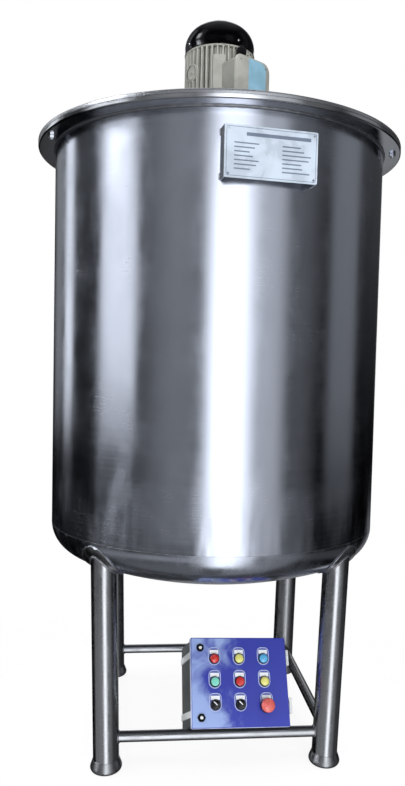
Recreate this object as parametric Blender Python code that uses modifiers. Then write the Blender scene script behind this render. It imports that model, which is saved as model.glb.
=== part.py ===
"""Stainless steel mixing tank: a closed vertical vessel with a dished bottom on four tubular legs,
a bolted flat lid with a flanged electric motor on a pedestal, a name plate, and a small control box
that rests on the front leg brace.

Metres, +Z up. The front faces -Y and the origin is on the floor, in the middle of the four feet.
"""

import math

import bmesh
import bpy
from mathutils import Matrix, Vector

# Clearance between neighbouring pieces, merge distance for modifiers, and how far cutters reach past a face
GAP = 0.0003
MERGE = 0.00005
CUT_REACH = 0.01

# Vessel
SHELL_RADIUS = 0.525
SHEET = 0.003
KNUCKLE_TOP_Z = 0.681
KNUCKLE_RADIUS = 0.094
CROWN_RADIUS = 1.24
SHELL_SEGMENTS = 64
KNUCKLE_STEPS = 5
CROWN_STEPS = 4

# Flange and lid, which share one outer edge
RIM_RADIUS = 0.578
RIM_ROUNDING = 0.005
FLANGE_BOTTOM_Z = 1.852
LID_BOTTOM_Z = 1.864
LID_TOP_Z = 1.876
LID_RING_INNER_RADIUS = 0.512
ROUNDING_STEPS = 2

# Legs, leaning in slightly towards the floor
LEG_RADIUS = 0.0381
LEG_WALL = 0.003
LEG_HALF_SPACING_TOP = 0.3417
LEG_HALF_SPACING_FLOOR = 0.3255
LEG_TOP_Z = 0.70
LEG_SEGMENTS = 20
PAD_THICKNESS = 0.003
PAD_RADIUS = 0.066
PAD_CENTRE_Z = 0.622
PAD_INNER_RADIUS = 0.38
PAD_TOP_Z = 0.694
PAD_SEGMENTS = 128

# Feet, flared rings round the lower ends of the legs
FOOT_RADIUS = 0.0465
FOOT_BASE = 0.010
FOOT_COLLAR = 0.036
FOOT_COLLAR_WALL = 0.0008
FOOT_ROUNDING = 0.012
FLOOR_CUT_DEPTH = 0.02

# Braces between the legs
BRACE_RADIUS = 0.0159
BRACE_WALL = 0.002
BRACE_Z = 0.097
BRACE_SEGMENTS = 16

# Motor, a little to the left of the tank's axis
MOTOR_X = -0.007
PEDESTAL_FLANGE_RADIUS = 0.150
PEDESTAL_BARREL_RADIUS = 0.082
PEDESTAL_BORE_RADIUS = 0.030
PEDESTAL_TOP_RADIUS = 0.125
PEDESTAL_TOP_Z = 1.966
PEDESTAL_FLANGE = 0.012
END_SHIELD_TOP_Z = 1.996
END_SHIELD_NECK_RADIUS = 0.100
END_SHIELD_SLOPE = 0.008
FIN_COUNT = 40
FIN_TIP_RADIUS = 0.112
FIN_ROOT_RADIUS = 0.100
FIN_TIP_SHARE = 0.17
FIN_ROOT_SHARE = 0.24
COVER_RADIUS = 0.1135
COVER_BOTTOM_Z = 2.1875
COVER_SHOULDER_Z = 2.2085
COVER_TOP_Z = 2.290
COVER_STEPS = 6
MOTOR_SEGMENTS = 36

# Terminal box on the motor, turned towards the front right
TERMINAL_AZIMUTH = math.radians(35.0)
TERMINAL_WIDTH = 0.140
TERMINAL_HEIGHT = 0.130
TERMINAL_CENTRE_Z = 2.073
TERMINAL_FACE = 0.165
TERMINAL_LID = 0.014
TERMINAL_INSET = 0.004
TERMINAL_CORNER = 0.018
TERMINAL_CUT = 0.030

# Name plate on a backing sheet, whose side webs reach back to the shell
PLATE_AZIMUTH = math.radians(8.2)
PLATE_DISTANCE = 0.552
PLATE_CENTRE_Z = 1.728
PLATE_WIDTH = 0.2505
PLATE_HEIGHT = 0.1325
PLATE_SHEET = 0.0015
TRAY_SHEET = 0.002
WEB_REACH = 0.080

# Control box: the door's face leans back and the box is turned a little on the brace it rests on
PANEL_X = 0.066
PANEL_FACE_Y = -0.374
PANEL_LEAN = math.radians(30.0)
PANEL_TURN = math.radians(5.9)
DOOR_WIDTH = 0.296
DOOR_HEIGHT = 0.253
DOOR_DEPTH = 0.018
DOOR_SHEET = 0.0015
CASE_WIDTH = 0.292
CASE_HEIGHT = 0.243
CASE_REAR = 0.180
CASE_SHEET = 0.0015
DOOR_CLEARANCE = 0.0008
CASE_LIP = 0.012

# Flat bars of the cradle that holds the box on the brace
CRADLE_BAR_WIDTH = 0.030
CRADLE_BAR = 0.004
CRADLE_STAY_U = 0.085
CRADLE_STAY_TOP = 0.215
STRAP_WIDTH = 0.018
STRAP_SHEET = 0.002
STRAP_LEVELS = (0.040, 0.205)
STRAP_SETBACK = 0.004

# Door hinges
HINGE_U = 0.1540
HINGE_Y = 0.009
HINGE_LEVELS = (0.058, 0.195)
HINGE_LENGTH = 0.045
HINGE_BARREL_RADIUS = 0.005
HINGE_PIN_RADIUS = 0.002
HINGE_BORE_RADIUS = 0.0024
HINGE_LEAF = 0.0015
HINGE_DOOR_CLEARANCE = 0.004
HINGE_LEAF_REAR = 0.046

# Devices on the door: u runs to the right from the middle of the door, v up from its lower edge
GRID_CENTRE_U = -0.0006
COLUMN_PITCH = 0.0761
ROW_LEVELS = (0.1918, 0.1265, 0.0628)
STOP_SHIFT = (0.0026, -0.0044)
LOCK_U = -0.119
LOCK_LEVELS = (0.029, 0.2235)
DOOR_HOLE_RADIUS = 0.0113
NECK_RADIUS = 0.0109
BEZEL_RADIUS = 0.0152
BEZEL_HEIGHT = 0.0065
BEZEL_CHAMFER = 0.0015
BLOCK_RADIUS = 0.0140
BLOCK_REAR = 0.042
LENS_RADIUS = 0.0132
LENS_TOP = 0.0140
CAP_RADIUS = 0.0126
CAP_TOP = 0.0115
CAP_UNDERSIDE = 0.0050
WELL_RADIUS = 0.0130
WELL_FLOOR = 0.0012
BORE_RADIUS = 0.0092
BORE_DEPTH = 0.010
STEM_RADIUS = 0.0088
STEM_DEPTH = 0.005
KNOB_RADIUS = 0.0128
KNOB_TOP = 0.0120
KNOB_EDGE = 0.001
GRIP_WIDTH = 0.0075
GRIP_LENGTH = 0.0245
GRIP_TOP = 0.0205
SELECTOR_REST_TURN = math.radians(45.0)
STOP_BEZEL_RADIUS = 0.0200
MUSHROOM_RADIUS = 0.0205
MUSHROOM_UNDERSIDE = 0.0150
MUSHROOM_TOP = 0.0300
DEVICE_SEGMENTS = 12
LOCK_RADIUS = 0.0120
LOCK_NECK_RADIUS = 0.0106
LOCK_TOP = 0.0055
LOCK_CHAMFER = 0.002
LOCK_REAR = 0.020


def clear_scene():
    for old in list(bpy.data.objects):
        bpy.data.objects.remove(old, do_unlink=True)


def new_collection(name):
    collection = bpy.data.collections.new(name)
    bpy.context.scene.collection.children.link(collection)
    return collection


clear_scene()
PARTS = new_collection("stainless_steel_mixing_tank")
CUTTERS = new_collection("cutters")


def material(name, colour, roughness, metallic):
    made = bpy.data.materials.new(name)
    made.use_nodes = True
    shader = made.node_tree.nodes["Principled BSDF"]
    shader.inputs["Base Color"].default_value = (*colour, 1.0)
    shader.inputs["Roughness"].default_value = roughness
    shader.inputs["Metallic"].default_value = metallic
    return made


STEEL = material("brushed_stainless", (0.56, 0.57, 0.59), 0.28, 1.0)
POLISHED = material("polished_stainless", (0.66, 0.67, 0.69), 0.18, 1.0)
MOTOR_PAINT = material("motor_cream_paint", (0.62, 0.61, 0.54), 0.45, 0.0)
COVER_PAINT = material("fan_cover_black_paint", (0.012, 0.012, 0.016), 0.30, 0.0)
CAST_PAINT = material("pedestal_grey_paint", (0.30, 0.31, 0.32), 0.50, 0.0)
PLATE_FINISH = material("name_plate_finish", (0.72, 0.80, 0.88), 0.35, 0.2)
CASE_PAINT = material("case_grey", (0.42, 0.43, 0.44), 0.35, 0.9)
DOOR_PAINT = material("door_blue_paint", (0.06, 0.08, 0.42), 0.25, 0.0)
BLACK_PLASTIC = material("black_plastic", (0.02, 0.02, 0.022), 0.35, 0.0)
LENS_COLOURS = {
    "red": material("red_plastic", (0.70, 0.03, 0.03), 0.30, 0.0),
    "green": material("green_plastic", (0.10, 0.60, 0.42), 0.30, 0.0),
    "yellow": material("yellow_plastic", (0.80, 0.70, 0.12), 0.30, 0.0),
    "blue": material("blue_plastic", (0.10, 0.40, 0.75), 0.30, 0.0),
}


def add_object(name, mesh, finish=None, parent=None):
    """A named piece of the tank, or a cutter where no finish is given."""
    made = bpy.data.objects.new(name, mesh)
    if finish is None:
        CUTTERS.objects.link(made)
        made.hide_render = True
        made.display_type = "WIRE"
    else:
        PARTS.objects.link(made)
        mesh.materials.append(finish)
    made.parent = parent
    return made


def add_empty(name, location=(0, 0, 0), rotation=(0, 0, 0), parent=None):
    made = bpy.data.objects.new(name, None)
    PARTS.objects.link(made)
    made.location = location
    made.rotation_euler = rotation
    made.parent = parent
    return made


def place(piece, location=(0, 0, 0), rotation=(0, 0, 0)):
    piece.location = location
    piece.rotation_euler = rotation
    return piece


def turned(name, profile, segments, finish=None, parent=None, closed=False):
    """A solid turned about Z. The profile's outer side runs from top to bottom."""
    mesh = bpy.data.meshes.new(name)
    points = [(radius, 0.0, height) for radius, height in profile]
    count = len(points)
    edges = [(i, (i + 1) % count) for i in range(count if closed else count - 1)]
    mesh.from_pydata(points, edges, [])
    piece = add_object(name, mesh, finish, parent)
    screw = piece.modifiers.new("turn", "SCREW")
    screw.axis = "Z"
    screw.steps = segments
    screw.render_steps = segments
    screw.use_merge_vertices = True
    screw.merge_threshold = MERGE
    return piece


def tube(name, radius, wall, low, high, segments, finish=None, parent=None):
    inner = radius - wall
    profile = [(radius, high), (radius, low), (inner, low), (inner, high)]
    return turned(name, profile, segments, finish, parent, closed=True)


def cylinder(name, radius, low, high, segments, finish=None, parent=None):
    mesh = bpy.data.meshes.new(name)
    shape = bmesh.new()
    middle = Matrix.Translation((0, 0, (low + high) / 2))
    bmesh.ops.create_cone(
        shape, cap_ends=True, segments=segments, radius1=radius, radius2=radius,
        depth=high - low, matrix=middle,
    )
    shape.to_mesh(mesh)
    shape.free()
    return add_object(name, mesh, finish, parent)


def cylinders(name, places, radius, low, high, segments, parent=None):
    """One cutter with a cylinder along Y at each (u, v) place."""
    mesh = bpy.data.meshes.new(name)
    shape = bmesh.new()
    for u, v in places:
        middle = Matrix.Translation((u, (low + high) / 2, v)) @ Matrix.Rotation(math.pi / 2, 4, "X")
        bmesh.ops.create_cone(
            shape, cap_ends=True, segments=segments, radius1=radius, radius2=radius,
            depth=high - low, matrix=middle,
        )
    shape.to_mesh(mesh)
    shape.free()
    return add_object(name, mesh, None, parent)


def block(name, low, high, finish=None, parent=None):
    """A box between two corners."""
    low, high = Vector(low), Vector(high)
    mesh = bpy.data.meshes.new(name)
    shape = bmesh.new()
    stretch = Matrix.Diagonal((*(high - low), 1.0))
    bmesh.ops.create_cube(shape, size=1.0, matrix=Matrix.Translation((low + high) / 2) @ stretch)
    shape.to_mesh(mesh)
    shape.free()
    return add_object(name, mesh, finish, parent)


def combine(piece, other, operation):
    modifier = piece.modifiers.new(f"{operation.lower()}_{other.name}", "BOOLEAN")
    modifier.operation = operation
    modifier.object = other
    modifier.solver = "EXACT"
    return piece


def bevel_edges(piece, width, segments=2):
    modifier = piece.modifiers.new("rounding", "BEVEL")
    modifier.width = width
    modifier.segments = segments
    modifier.limit_method = "ANGLE"
    modifier.angle_limit = math.radians(40)
    return piece


def arc(centre, radius, start, end, steps):
    """Points on a circle in the profile plane; angles in radians from the outward direction."""
    points = []
    for i in range(steps + 1):
        angle = start + (end - start) * i / steps
        points.append((centre[0] + radius * math.cos(angle), centre[1] + radius * math.sin(angle)))
    return points


def dished_outline(offset):
    """Outer side of the dished bottom, moved out by offset, from the shell down to the axis."""
    knuckle_centre = (SHELL_RADIUS - KNUCKLE_RADIUS, KNUCKLE_TOP_Z)
    reach = CROWN_RADIUS - KNUCKLE_RADIUS
    crown_z = KNUCKLE_TOP_Z + math.sqrt(reach**2 - knuckle_centre[0] ** 2)
    tangent = math.atan2(KNUCKLE_TOP_Z - crown_z, knuckle_centre[0])
    knuckle = arc(knuckle_centre, KNUCKLE_RADIUS + offset, 0.0, tangent, KNUCKLE_STEPS)
    crown = arc((0.0, crown_z), CROWN_RADIUS + offset, tangent, -math.pi / 2, CROWN_STEPS)
    return knuckle + crown[1:-1] + [(0.0, crown_z - CROWN_RADIUS - offset)]


def build_vessel():
    tube("shell", SHELL_RADIUS, SHEET, KNUCKLE_TOP_Z + GAP, LID_BOTTOM_Z, SHELL_SEGMENTS, STEEL)
    head = list(reversed(dished_outline(-SHEET))) + dished_outline(0.0)
    turned("bottom_head", head, SHELL_SEGMENTS, STEEL)
    edge = RIM_RADIUS - RIM_ROUNDING
    corner = (edge, FLANGE_BOTTOM_Z + RIM_ROUNDING)
    lower_rounding = arc(corner, RIM_ROUNDING, 0.0, -math.pi / 2, ROUNDING_STEPS)
    ring = [(SHELL_RADIUS + GAP, LID_BOTTOM_Z), (RIM_RADIUS, LID_BOTTOM_Z)]
    ring += lower_rounding + [(SHELL_RADIUS + GAP, FLANGE_BOTTOM_Z)]
    turned("top_flange", ring, SHELL_SEGMENTS, POLISHED, closed=True)
    corner = (edge, LID_TOP_Z - RIM_ROUNDING)
    upper_rounding = arc(corner, RIM_ROUNDING, math.pi / 2, 0.0, ROUNDING_STEPS)
    underside = LID_TOP_Z - SHEET
    lid = [(0.0, LID_TOP_Z)] + upper_rounding
    lid += [(RIM_RADIUS, LID_BOTTOM_Z + GAP), (LID_RING_INNER_RADIUS, LID_BOTTOM_Z + GAP)]
    lid += [(LID_RING_INNER_RADIUS, underside), (0.0, underside)]
    turned("lid", lid, SHELL_SEGMENTS, POLISHED)


def leg_axis(side_x, side_y):
    """Point on the floor and unit direction, up the leg."""
    floor = Vector((side_x, side_y, 0.0)) * LEG_HALF_SPACING_FLOOR
    top = Vector((side_x, side_y, 0.0)) * LEG_HALF_SPACING_TOP + Vector((0, 0, LEG_TOP_Z))
    return floor, (top - floor).normalized()


def leg_half_spacing(height):
    lean = (LEG_HALF_SPACING_TOP - LEG_HALF_SPACING_FLOOR) / LEG_TOP_Z
    return LEG_HALF_SPACING_FLOOR + lean * height


def build_leg(corner, side_x, side_y, head_cutter, floor_cutter):
    floor, direction = leg_axis(side_x, side_y)
    upright = Vector((0, 0, 1)).rotation_difference(direction).to_euler()
    frame = add_empty(f"leg_frame_{corner}", floor, upright)
    leg = tube(
        f"leg_{corner}", LEG_RADIUS, LEG_WALL, FOOT_BASE + GAP, LEG_TOP_Z, LEG_SEGMENTS, STEEL, frame
    )
    combine(leg, head_cutter, "DIFFERENCE")
    socket = LEG_RADIUS + GAP
    foot = [(0.0, FOOT_BASE), (socket, FOOT_BASE), (socket, FOOT_COLLAR)]
    foot += [(socket + FOOT_COLLAR_WALL, FOOT_COLLAR)]
    sole = FOOT_RADIUS - FOOT_ROUNDING
    foot += arc((sole, FOOT_ROUNDING), FOOT_ROUNDING, math.radians(35), math.radians(-75), 5)
    foot += [(sole, -FOOT_BASE / 2), (0.0, -FOOT_BASE / 2)]
    ring = turned(f"foot_{corner}", foot, LEG_SEGMENTS, STEEL, frame)
    combine(ring, floor_cutter, "DIFFERENCE")
    pad = turned(f"leg_pad_{corner}", pad_profile(), PAD_SEGMENTS, STEEL, closed=True)
    combine(pad, pad_boundary(corner, side_x, side_y), "INTERSECT")


def pad_profile():
    """Ring of sheet that follows the dished bottom, a little outside it."""
    low = [point for point in dished_outline(GAP) if point[0] > PAD_INNER_RADIUS]
    high = [point for point in dished_outline(GAP + PAD_THICKNESS) if point[0] > PAD_INNER_RADIUS]
    low = [(low[0][0], PAD_TOP_Z)] + low
    high = [(high[0][0], PAD_TOP_Z)] + high
    return high + list(reversed(low))


def pad_boundary(corner, side_x, side_y):
    mesh = bpy.data.meshes.new(f"pad_boundary_{corner}")
    shape = bmesh.new()
    spacing = leg_half_spacing(PAD_CENTRE_Z)
    centre = Matrix.Translation((side_x * spacing, side_y * spacing, PAD_CENTRE_Z))
    bmesh.ops.create_uvsphere(shape, u_segments=28, v_segments=18, radius=PAD_RADIUS, matrix=centre)
    shape.to_mesh(mesh)
    shape.free()
    return add_object(mesh.name, mesh)


def build_legs():
    clearance = PAD_THICKNESS + 2 * GAP
    above = [(0.0, LEG_TOP_Z + 0.1), (SHELL_RADIUS + clearance, LEG_TOP_Z + 0.1)]
    head_cutter = turned("head_cutter", above + dished_outline(clearance), PAD_SEGMENTS)
    floor_cutter = block("floor_cutter", (-1, -1, -FLOOR_CUT_DEPTH), (1, 1, 0))
    corners = {
        "front_left": (-1, -1), "front_right": (1, -1), "rear_left": (-1, 1), "rear_right": (1, 1),
    }
    leg_cutters = {}
    for corner, (side_x, side_y) in corners.items():
        build_leg(corner, side_x, side_y, head_cutter, floor_cutter)
        floor, direction = leg_axis(side_x, side_y)
        cutter = cylinder(f"leg_cutter_{corner}", LEG_RADIUS + GAP, 0.0, LEG_TOP_Z, LEG_SEGMENTS)
        place(cutter, floor, Vector((0, 0, 1)).rotation_difference(direction).to_euler())
        leg_cutters[corner] = cutter
    build_braces(leg_cutters)


def build_braces(leg_cutters):
    half = leg_half_spacing(BRACE_Z)
    along_x = (0, math.pi / 2, 0)
    along_y = (math.pi / 2, 0, 0)
    runs = {
        "front": ((0, -half, BRACE_Z), along_x, ("front_left", "front_right")),
        "rear": ((0, half, BRACE_Z), along_x, ("rear_left", "rear_right")),
        "left": ((-half, 0, BRACE_Z), along_y, ("front_left", "rear_left")),
        "right": ((half, 0, BRACE_Z), along_y, ("front_right", "rear_right")),
    }
    for side, (middle, rotation, ends) in runs.items():
        brace = tube(f"brace_{side}", BRACE_RADIUS, BRACE_WALL, -half, half, BRACE_SEGMENTS, STEEL)
        place(brace, middle, rotation)
        for end in ends:
            combine(brace, leg_cutters[end], "DIFFERENCE")


def solid_from_outline(name, outline, low, high, finish, parent):
    """A flat outline of (x, y) points, made as thick as the space between two heights."""
    curve = bpy.data.curves.new(name, "CURVE")
    curve.dimensions = "2D"
    curve.fill_mode = "BOTH"
    curve.extrude = (high - low) / 2
    spline = curve.splines.new("POLY")
    spline.points.add(len(outline) - 1)
    for point, (x, y) in zip(spline.points, outline):
        point.co = (x, y, 0.0, 1.0)
    spline.use_cyclic_u = True
    drawn = add_object(f"{name}_outline", curve)
    bpy.context.view_layer.update()
    mesh = bpy.data.meshes.new_from_object(drawn.evaluated_get(bpy.context.evaluated_depsgraph_get()))
    bpy.data.objects.remove(drawn, do_unlink=True)
    shape = bmesh.new()
    shape.from_mesh(mesh)
    bmesh.ops.remove_doubles(shape, verts=shape.verts, dist=MERGE)
    shape.to_mesh(mesh)
    shape.free()
    mesh.name = name
    piece = add_object(name, mesh, finish, parent)
    piece.location.z = (low + high) / 2
    return piece


def finned_outline():
    """Star-shaped section of the motor body; each fin tapers a little towards its tip."""
    points = []
    pitch = 2 * math.pi / FIN_COUNT
    for fin in range(FIN_COUNT):
        middle = fin * pitch
        corners = (
            (FIN_ROOT_RADIUS, -FIN_ROOT_SHARE), (FIN_TIP_RADIUS, -FIN_TIP_SHARE),
            (FIN_TIP_RADIUS, FIN_TIP_SHARE), (FIN_ROOT_RADIUS, FIN_ROOT_SHARE),
        )
        for radius, share in corners:
            angle = middle + share * pitch
            points.append((radius * math.cos(angle), radius * math.sin(angle)))
    return points


def build_motor():
    axis = add_empty("motor_frame", (MOTOR_X, 0, 0))
    inner = PEDESTAL_BORE_RADIUS
    bottom = LID_TOP_Z + GAP
    foot_top = bottom + PEDESTAL_FLANGE
    head_bottom = PEDESTAL_TOP_Z - PEDESTAL_FLANGE
    pedestal = [(PEDESTAL_TOP_RADIUS, PEDESTAL_TOP_Z), (PEDESTAL_TOP_RADIUS, head_bottom)]
    pedestal += [(PEDESTAL_BARREL_RADIUS, head_bottom), (PEDESTAL_BARREL_RADIUS, foot_top)]
    pedestal += [(PEDESTAL_FLANGE_RADIUS, foot_top), (PEDESTAL_FLANGE_RADIUS, bottom)]
    pedestal += [(inner, bottom), (inner, PEDESTAL_TOP_Z)]
    turned("motor_pedestal", pedestal, MOTOR_SEGMENTS, CAST_PAINT, axis, closed=True)
    shield_bottom = PEDESTAL_TOP_Z + GAP
    shield_flange_top = PEDESTAL_TOP_Z + PEDESTAL_FLANGE
    shield = [(0.0, END_SHIELD_TOP_Z), (END_SHIELD_NECK_RADIUS, END_SHIELD_TOP_Z)]
    shield += [(END_SHIELD_NECK_RADIUS, shield_flange_top + END_SHIELD_SLOPE)]
    shield += [(PEDESTAL_TOP_RADIUS, shield_flange_top), (PEDESTAL_TOP_RADIUS, shield_bottom)]
    shield += [(0.0, shield_bottom)]
    turned("motor_end_shield", shield, MOTOR_SEGMENTS, MOTOR_PAINT, axis)
    solid_from_outline(
        "motor_body", finned_outline(), END_SHIELD_TOP_Z + GAP, COVER_BOTTOM_Z - GAP, MOTOR_PAINT, axis
    )
    rise = COVER_TOP_Z - COVER_SHOULDER_Z
    dome = []
    for i in range(COVER_STEPS + 1):
        angle = math.pi / 2 * (1 - i / COVER_STEPS)
        dome.append((COVER_RADIUS * math.cos(angle) ** 0.8, COVER_SHOULDER_Z + rise * math.sin(angle)))
    cover = [(0.0, COVER_TOP_Z)] + dome[1:] + [(COVER_RADIUS, COVER_BOTTOM_Z), (0.0, COVER_BOTTOM_Z)]
    turned("fan_cover", cover, MOTOR_SEGMENTS, COVER_PAINT, axis)
    build_terminal_box(axis)


def cut_corners(piece, cut, corner):
    """Rounds the four edges that run along Y: the upper right one by cut, the others by corner."""
    modifier = piece.modifiers.new("cut_corners", "BEVEL")
    modifier.width = cut
    modifier.segments = 3
    modifier.limit_method = "WEIGHT"
    weights = piece.data.attributes.new("bevel_weight_edge", "FLOAT", "EDGE")
    for edge, weight in zip(piece.data.edges, weights.data):
        first, second = (piece.data.vertices[i].co for i in edge.vertices)
        if abs(first.y - second.y) > TERMINAL_LID / 2:
            weight.value = 1.0 if first.x > 0 and first.z > 0 else corner / cut


def build_terminal_box(axis):
    frame = add_empty("terminal_frame", (0, 0, TERMINAL_CENTRE_Z), (0, 0, TERMINAL_AZIMUTH), axis)
    half_w = TERMINAL_WIDTH / 2
    half_h = TERMINAL_HEIGHT / 2
    front = -(TERMINAL_FACE - TERMINAL_LID)
    low = (-half_w + TERMINAL_INSET, front, -half_h + TERMINAL_INSET)
    high = (half_w - TERMINAL_INSET, -FIN_ROOT_RADIUS * 0.6, half_h - TERMINAL_INSET)
    box = block("terminal_box", low, high, MOTOR_PAINT, frame)
    cut_corners(box, TERMINAL_CUT - TERMINAL_INSET, TERMINAL_CORNER - TERMINAL_INSET)
    clear_radius = (FIN_TIP_RADIUS + GAP) / math.cos(math.pi / MOTOR_SEGMENTS)
    body_cutter = cylinder(
        "motor_body_cutter", clear_radius, -TERMINAL_HEIGHT, TERMINAL_HEIGHT, MOTOR_SEGMENTS, None, axis
    )
    place(body_cutter, (0, 0, TERMINAL_CENTRE_Z))
    combine(box, body_cutter, "DIFFERENCE")
    lid = block(
        "terminal_box_lid", (-half_w, -TERMINAL_FACE, -half_h), (half_w, front - GAP, half_h),
        MOTOR_PAINT, frame,
    )
    cut_corners(lid, TERMINAL_CUT, TERMINAL_CORNER)


def build_name_plate():
    frame = add_empty("name_plate_frame", (0, 0, PLATE_CENTRE_Z), (0, 0, PLATE_AZIMUTH))
    half_w = PLATE_WIDTH / 2
    half_h = PLATE_HEIGHT / 2
    front = -PLATE_DISTANCE
    block(
        "name_plate", (-half_w, front, -half_h), (half_w, front + PLATE_SHEET, half_h), PLATE_FINISH, frame
    )
    back = front + PLATE_SHEET + GAP
    tray = block(
        "name_plate_tray", (-half_w, back, -half_h), (half_w, back + TRAY_SHEET, half_h), STEEL, frame
    )
    for side in (-1, 1):
        inner, outer = sorted((side * (half_w - TRAY_SHEET), side * half_w))
        web = block(
            f"tray_web_{side}", (inner, back + TRAY_SHEET - MERGE, -half_h),
            (outer, back + WEB_REACH, half_h), None, frame,
        )
        combine(tray, web, "UNION")
    shell_cutter = cylinder(
        "shell_cutter", SHELL_RADIUS + GAP, -PLATE_HEIGHT, PLATE_HEIGHT, SHELL_SEGMENTS
    )
    place(shell_cutter, (0, 0, PLATE_CENTRE_Z))
    combine(tray, shell_cutter, "DIFFERENCE")


def panel_base():
    """Where the middle of the door's lower edge is, with the case resting on the front brace."""
    brace_y = -leg_half_spacing(BRACE_Z)
    case_bottom = (DOOR_HEIGHT - CASE_HEIGHT) / 2
    reach = BRACE_RADIUS + GAP - case_bottom + (brace_y - PANEL_FACE_Y) * math.sin(PANEL_LEAN)
    return Vector((PANEL_X, PANEL_FACE_Y, BRACE_Z + reach / math.cos(PANEL_LEAN)))


def brace_depth(u):
    """How far behind the door's face the middle of the front brace runs, at u across the panel."""
    drop = panel_base().z - BRACE_Z
    level = (-leg_half_spacing(BRACE_Z) - PANEL_FACE_Y) * math.cos(PANEL_LEAN) + drop * math.sin(PANEL_LEAN)
    return (level - u * math.sin(PANEL_TURN)) / math.cos(PANEL_TURN)


def hinge_barrels(name, level, parent):
    """The case's side of one hinge: a leaf, two barrels and the pin through them."""
    third = HINGE_LENGTH / 3
    low = level - HINGE_LENGTH / 2
    pin = cylinder(name, HINGE_PIN_RADIUS, low, low + HINGE_LENGTH, DEVICE_SEGMENTS, POLISHED, parent)
    place(pin, (HINGE_U, HINGE_Y, 0))
    side = CASE_WIDTH / 2 + GAP
    leaf_front = DOOR_DEPTH + HINGE_DOOR_CLEARANCE
    foot_rear = leaf_front + HINGE_LEAF
    tab_outer = HINGE_U - HINGE_PIN_RADIUS
    for barrel_low in (low, low + 2 * third):
        barrel = cylinder(
            f"{name}_barrel_{barrel_low:.3f}", HINGE_BARREL_RADIUS, barrel_low + GAP,
            barrel_low + third - GAP, DEVICE_SEGMENTS, None, parent,
        )
        place(barrel, (HINGE_U, HINGE_Y, 0))
        combine(pin, barrel, "UNION")
        bottom, top = barrel_low + 2 * GAP, barrel_low + third - 2 * GAP
        tab = block(
            f"{name}_tab_{barrel_low:.3f}", (tab_outer - HINGE_LEAF, HINGE_Y, bottom),
            (tab_outer, foot_rear, top), None, parent,
        )
        combine(pin, tab, "UNION")
        foot = block(
            f"{name}_foot_{barrel_low:.3f}", (side + HINGE_LEAF / 2, leaf_front + MERGE, bottom),
            (tab_outer, foot_rear, top), None, parent,
        )
        combine(pin, foot, "UNION")
    leaf = block(
        f"{name}_leaf", (side, leaf_front, low), (side + HINGE_LEAF, HINGE_LEAF_REAR, low + HINGE_LENGTH),
        None, parent,
    )
    combine(pin, leaf, "UNION")


def hinge_door_knuckle(name, level, parent):
    """The door's side of one hinge: the middle barrel and its leaf, both joined to the door."""
    third = HINGE_LENGTH / 3
    low = level - third / 2
    ring = tube(
        name, HINGE_BARREL_RADIUS, HINGE_BARREL_RADIUS - HINGE_BORE_RADIUS, low + GAP, low + third - GAP,
        DEVICE_SEGMENTS, None, parent,
    )
    place(ring, (HINGE_U, HINGE_Y, 0))
    half_leaf = HINGE_LEAF * 2 / 3
    leaf_outer = HINGE_U - HINGE_BARREL_RADIUS + HINGE_LEAF
    leaf = block(
        f"{name}_leaf", (DOOR_WIDTH / 2 - DOOR_SHEET / 2, HINGE_Y - half_leaf, low + 2 * GAP),
        (leaf_outer, HINGE_Y + half_leaf, low + third - 2 * GAP), None, parent,
    )
    return ring, leaf


def device_places():
    places = {}
    for row, v in enumerate(ROW_LEVELS, start=1):
        for column in (1, 2, 3):
            places[row, column] = (GRID_CENTRE_U + (column - 2) * COLUMN_PITCH, v)
    u, v = places[3, 3]
    places[3, 3] = (u + STOP_SHIFT[0], v + STOP_SHIFT[1])
    return places


def build_case(frame):
    half = CASE_WIDTH / 2
    low = (DOOR_HEIGHT - CASE_HEIGHT) / 2
    front = DOOR_DEPTH + DOOR_CLEARANCE
    case = block("panel_case", (-half, front, low), (half, CASE_REAR, low + CASE_HEIGHT), CASE_PAINT, frame)
    hollow = block(
        "case_hollow", (-half + CASE_SHEET, front + CASE_SHEET, low + CASE_SHEET),
        (half - CASE_SHEET, CASE_REAR - CASE_SHEET, low + CASE_HEIGHT - CASE_SHEET), None, frame,
    )
    mouth = block(
        "case_mouth", (-half + CASE_LIP, front - CUT_REACH, low + CASE_LIP),
        (half - CASE_LIP, front + CUT_REACH, low + CASE_HEIGHT - CASE_LIP), None, frame,
    )
    combine(case, mouth, "DIFFERENCE")
    combine(case, hollow, "DIFFERENCE")


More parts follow.
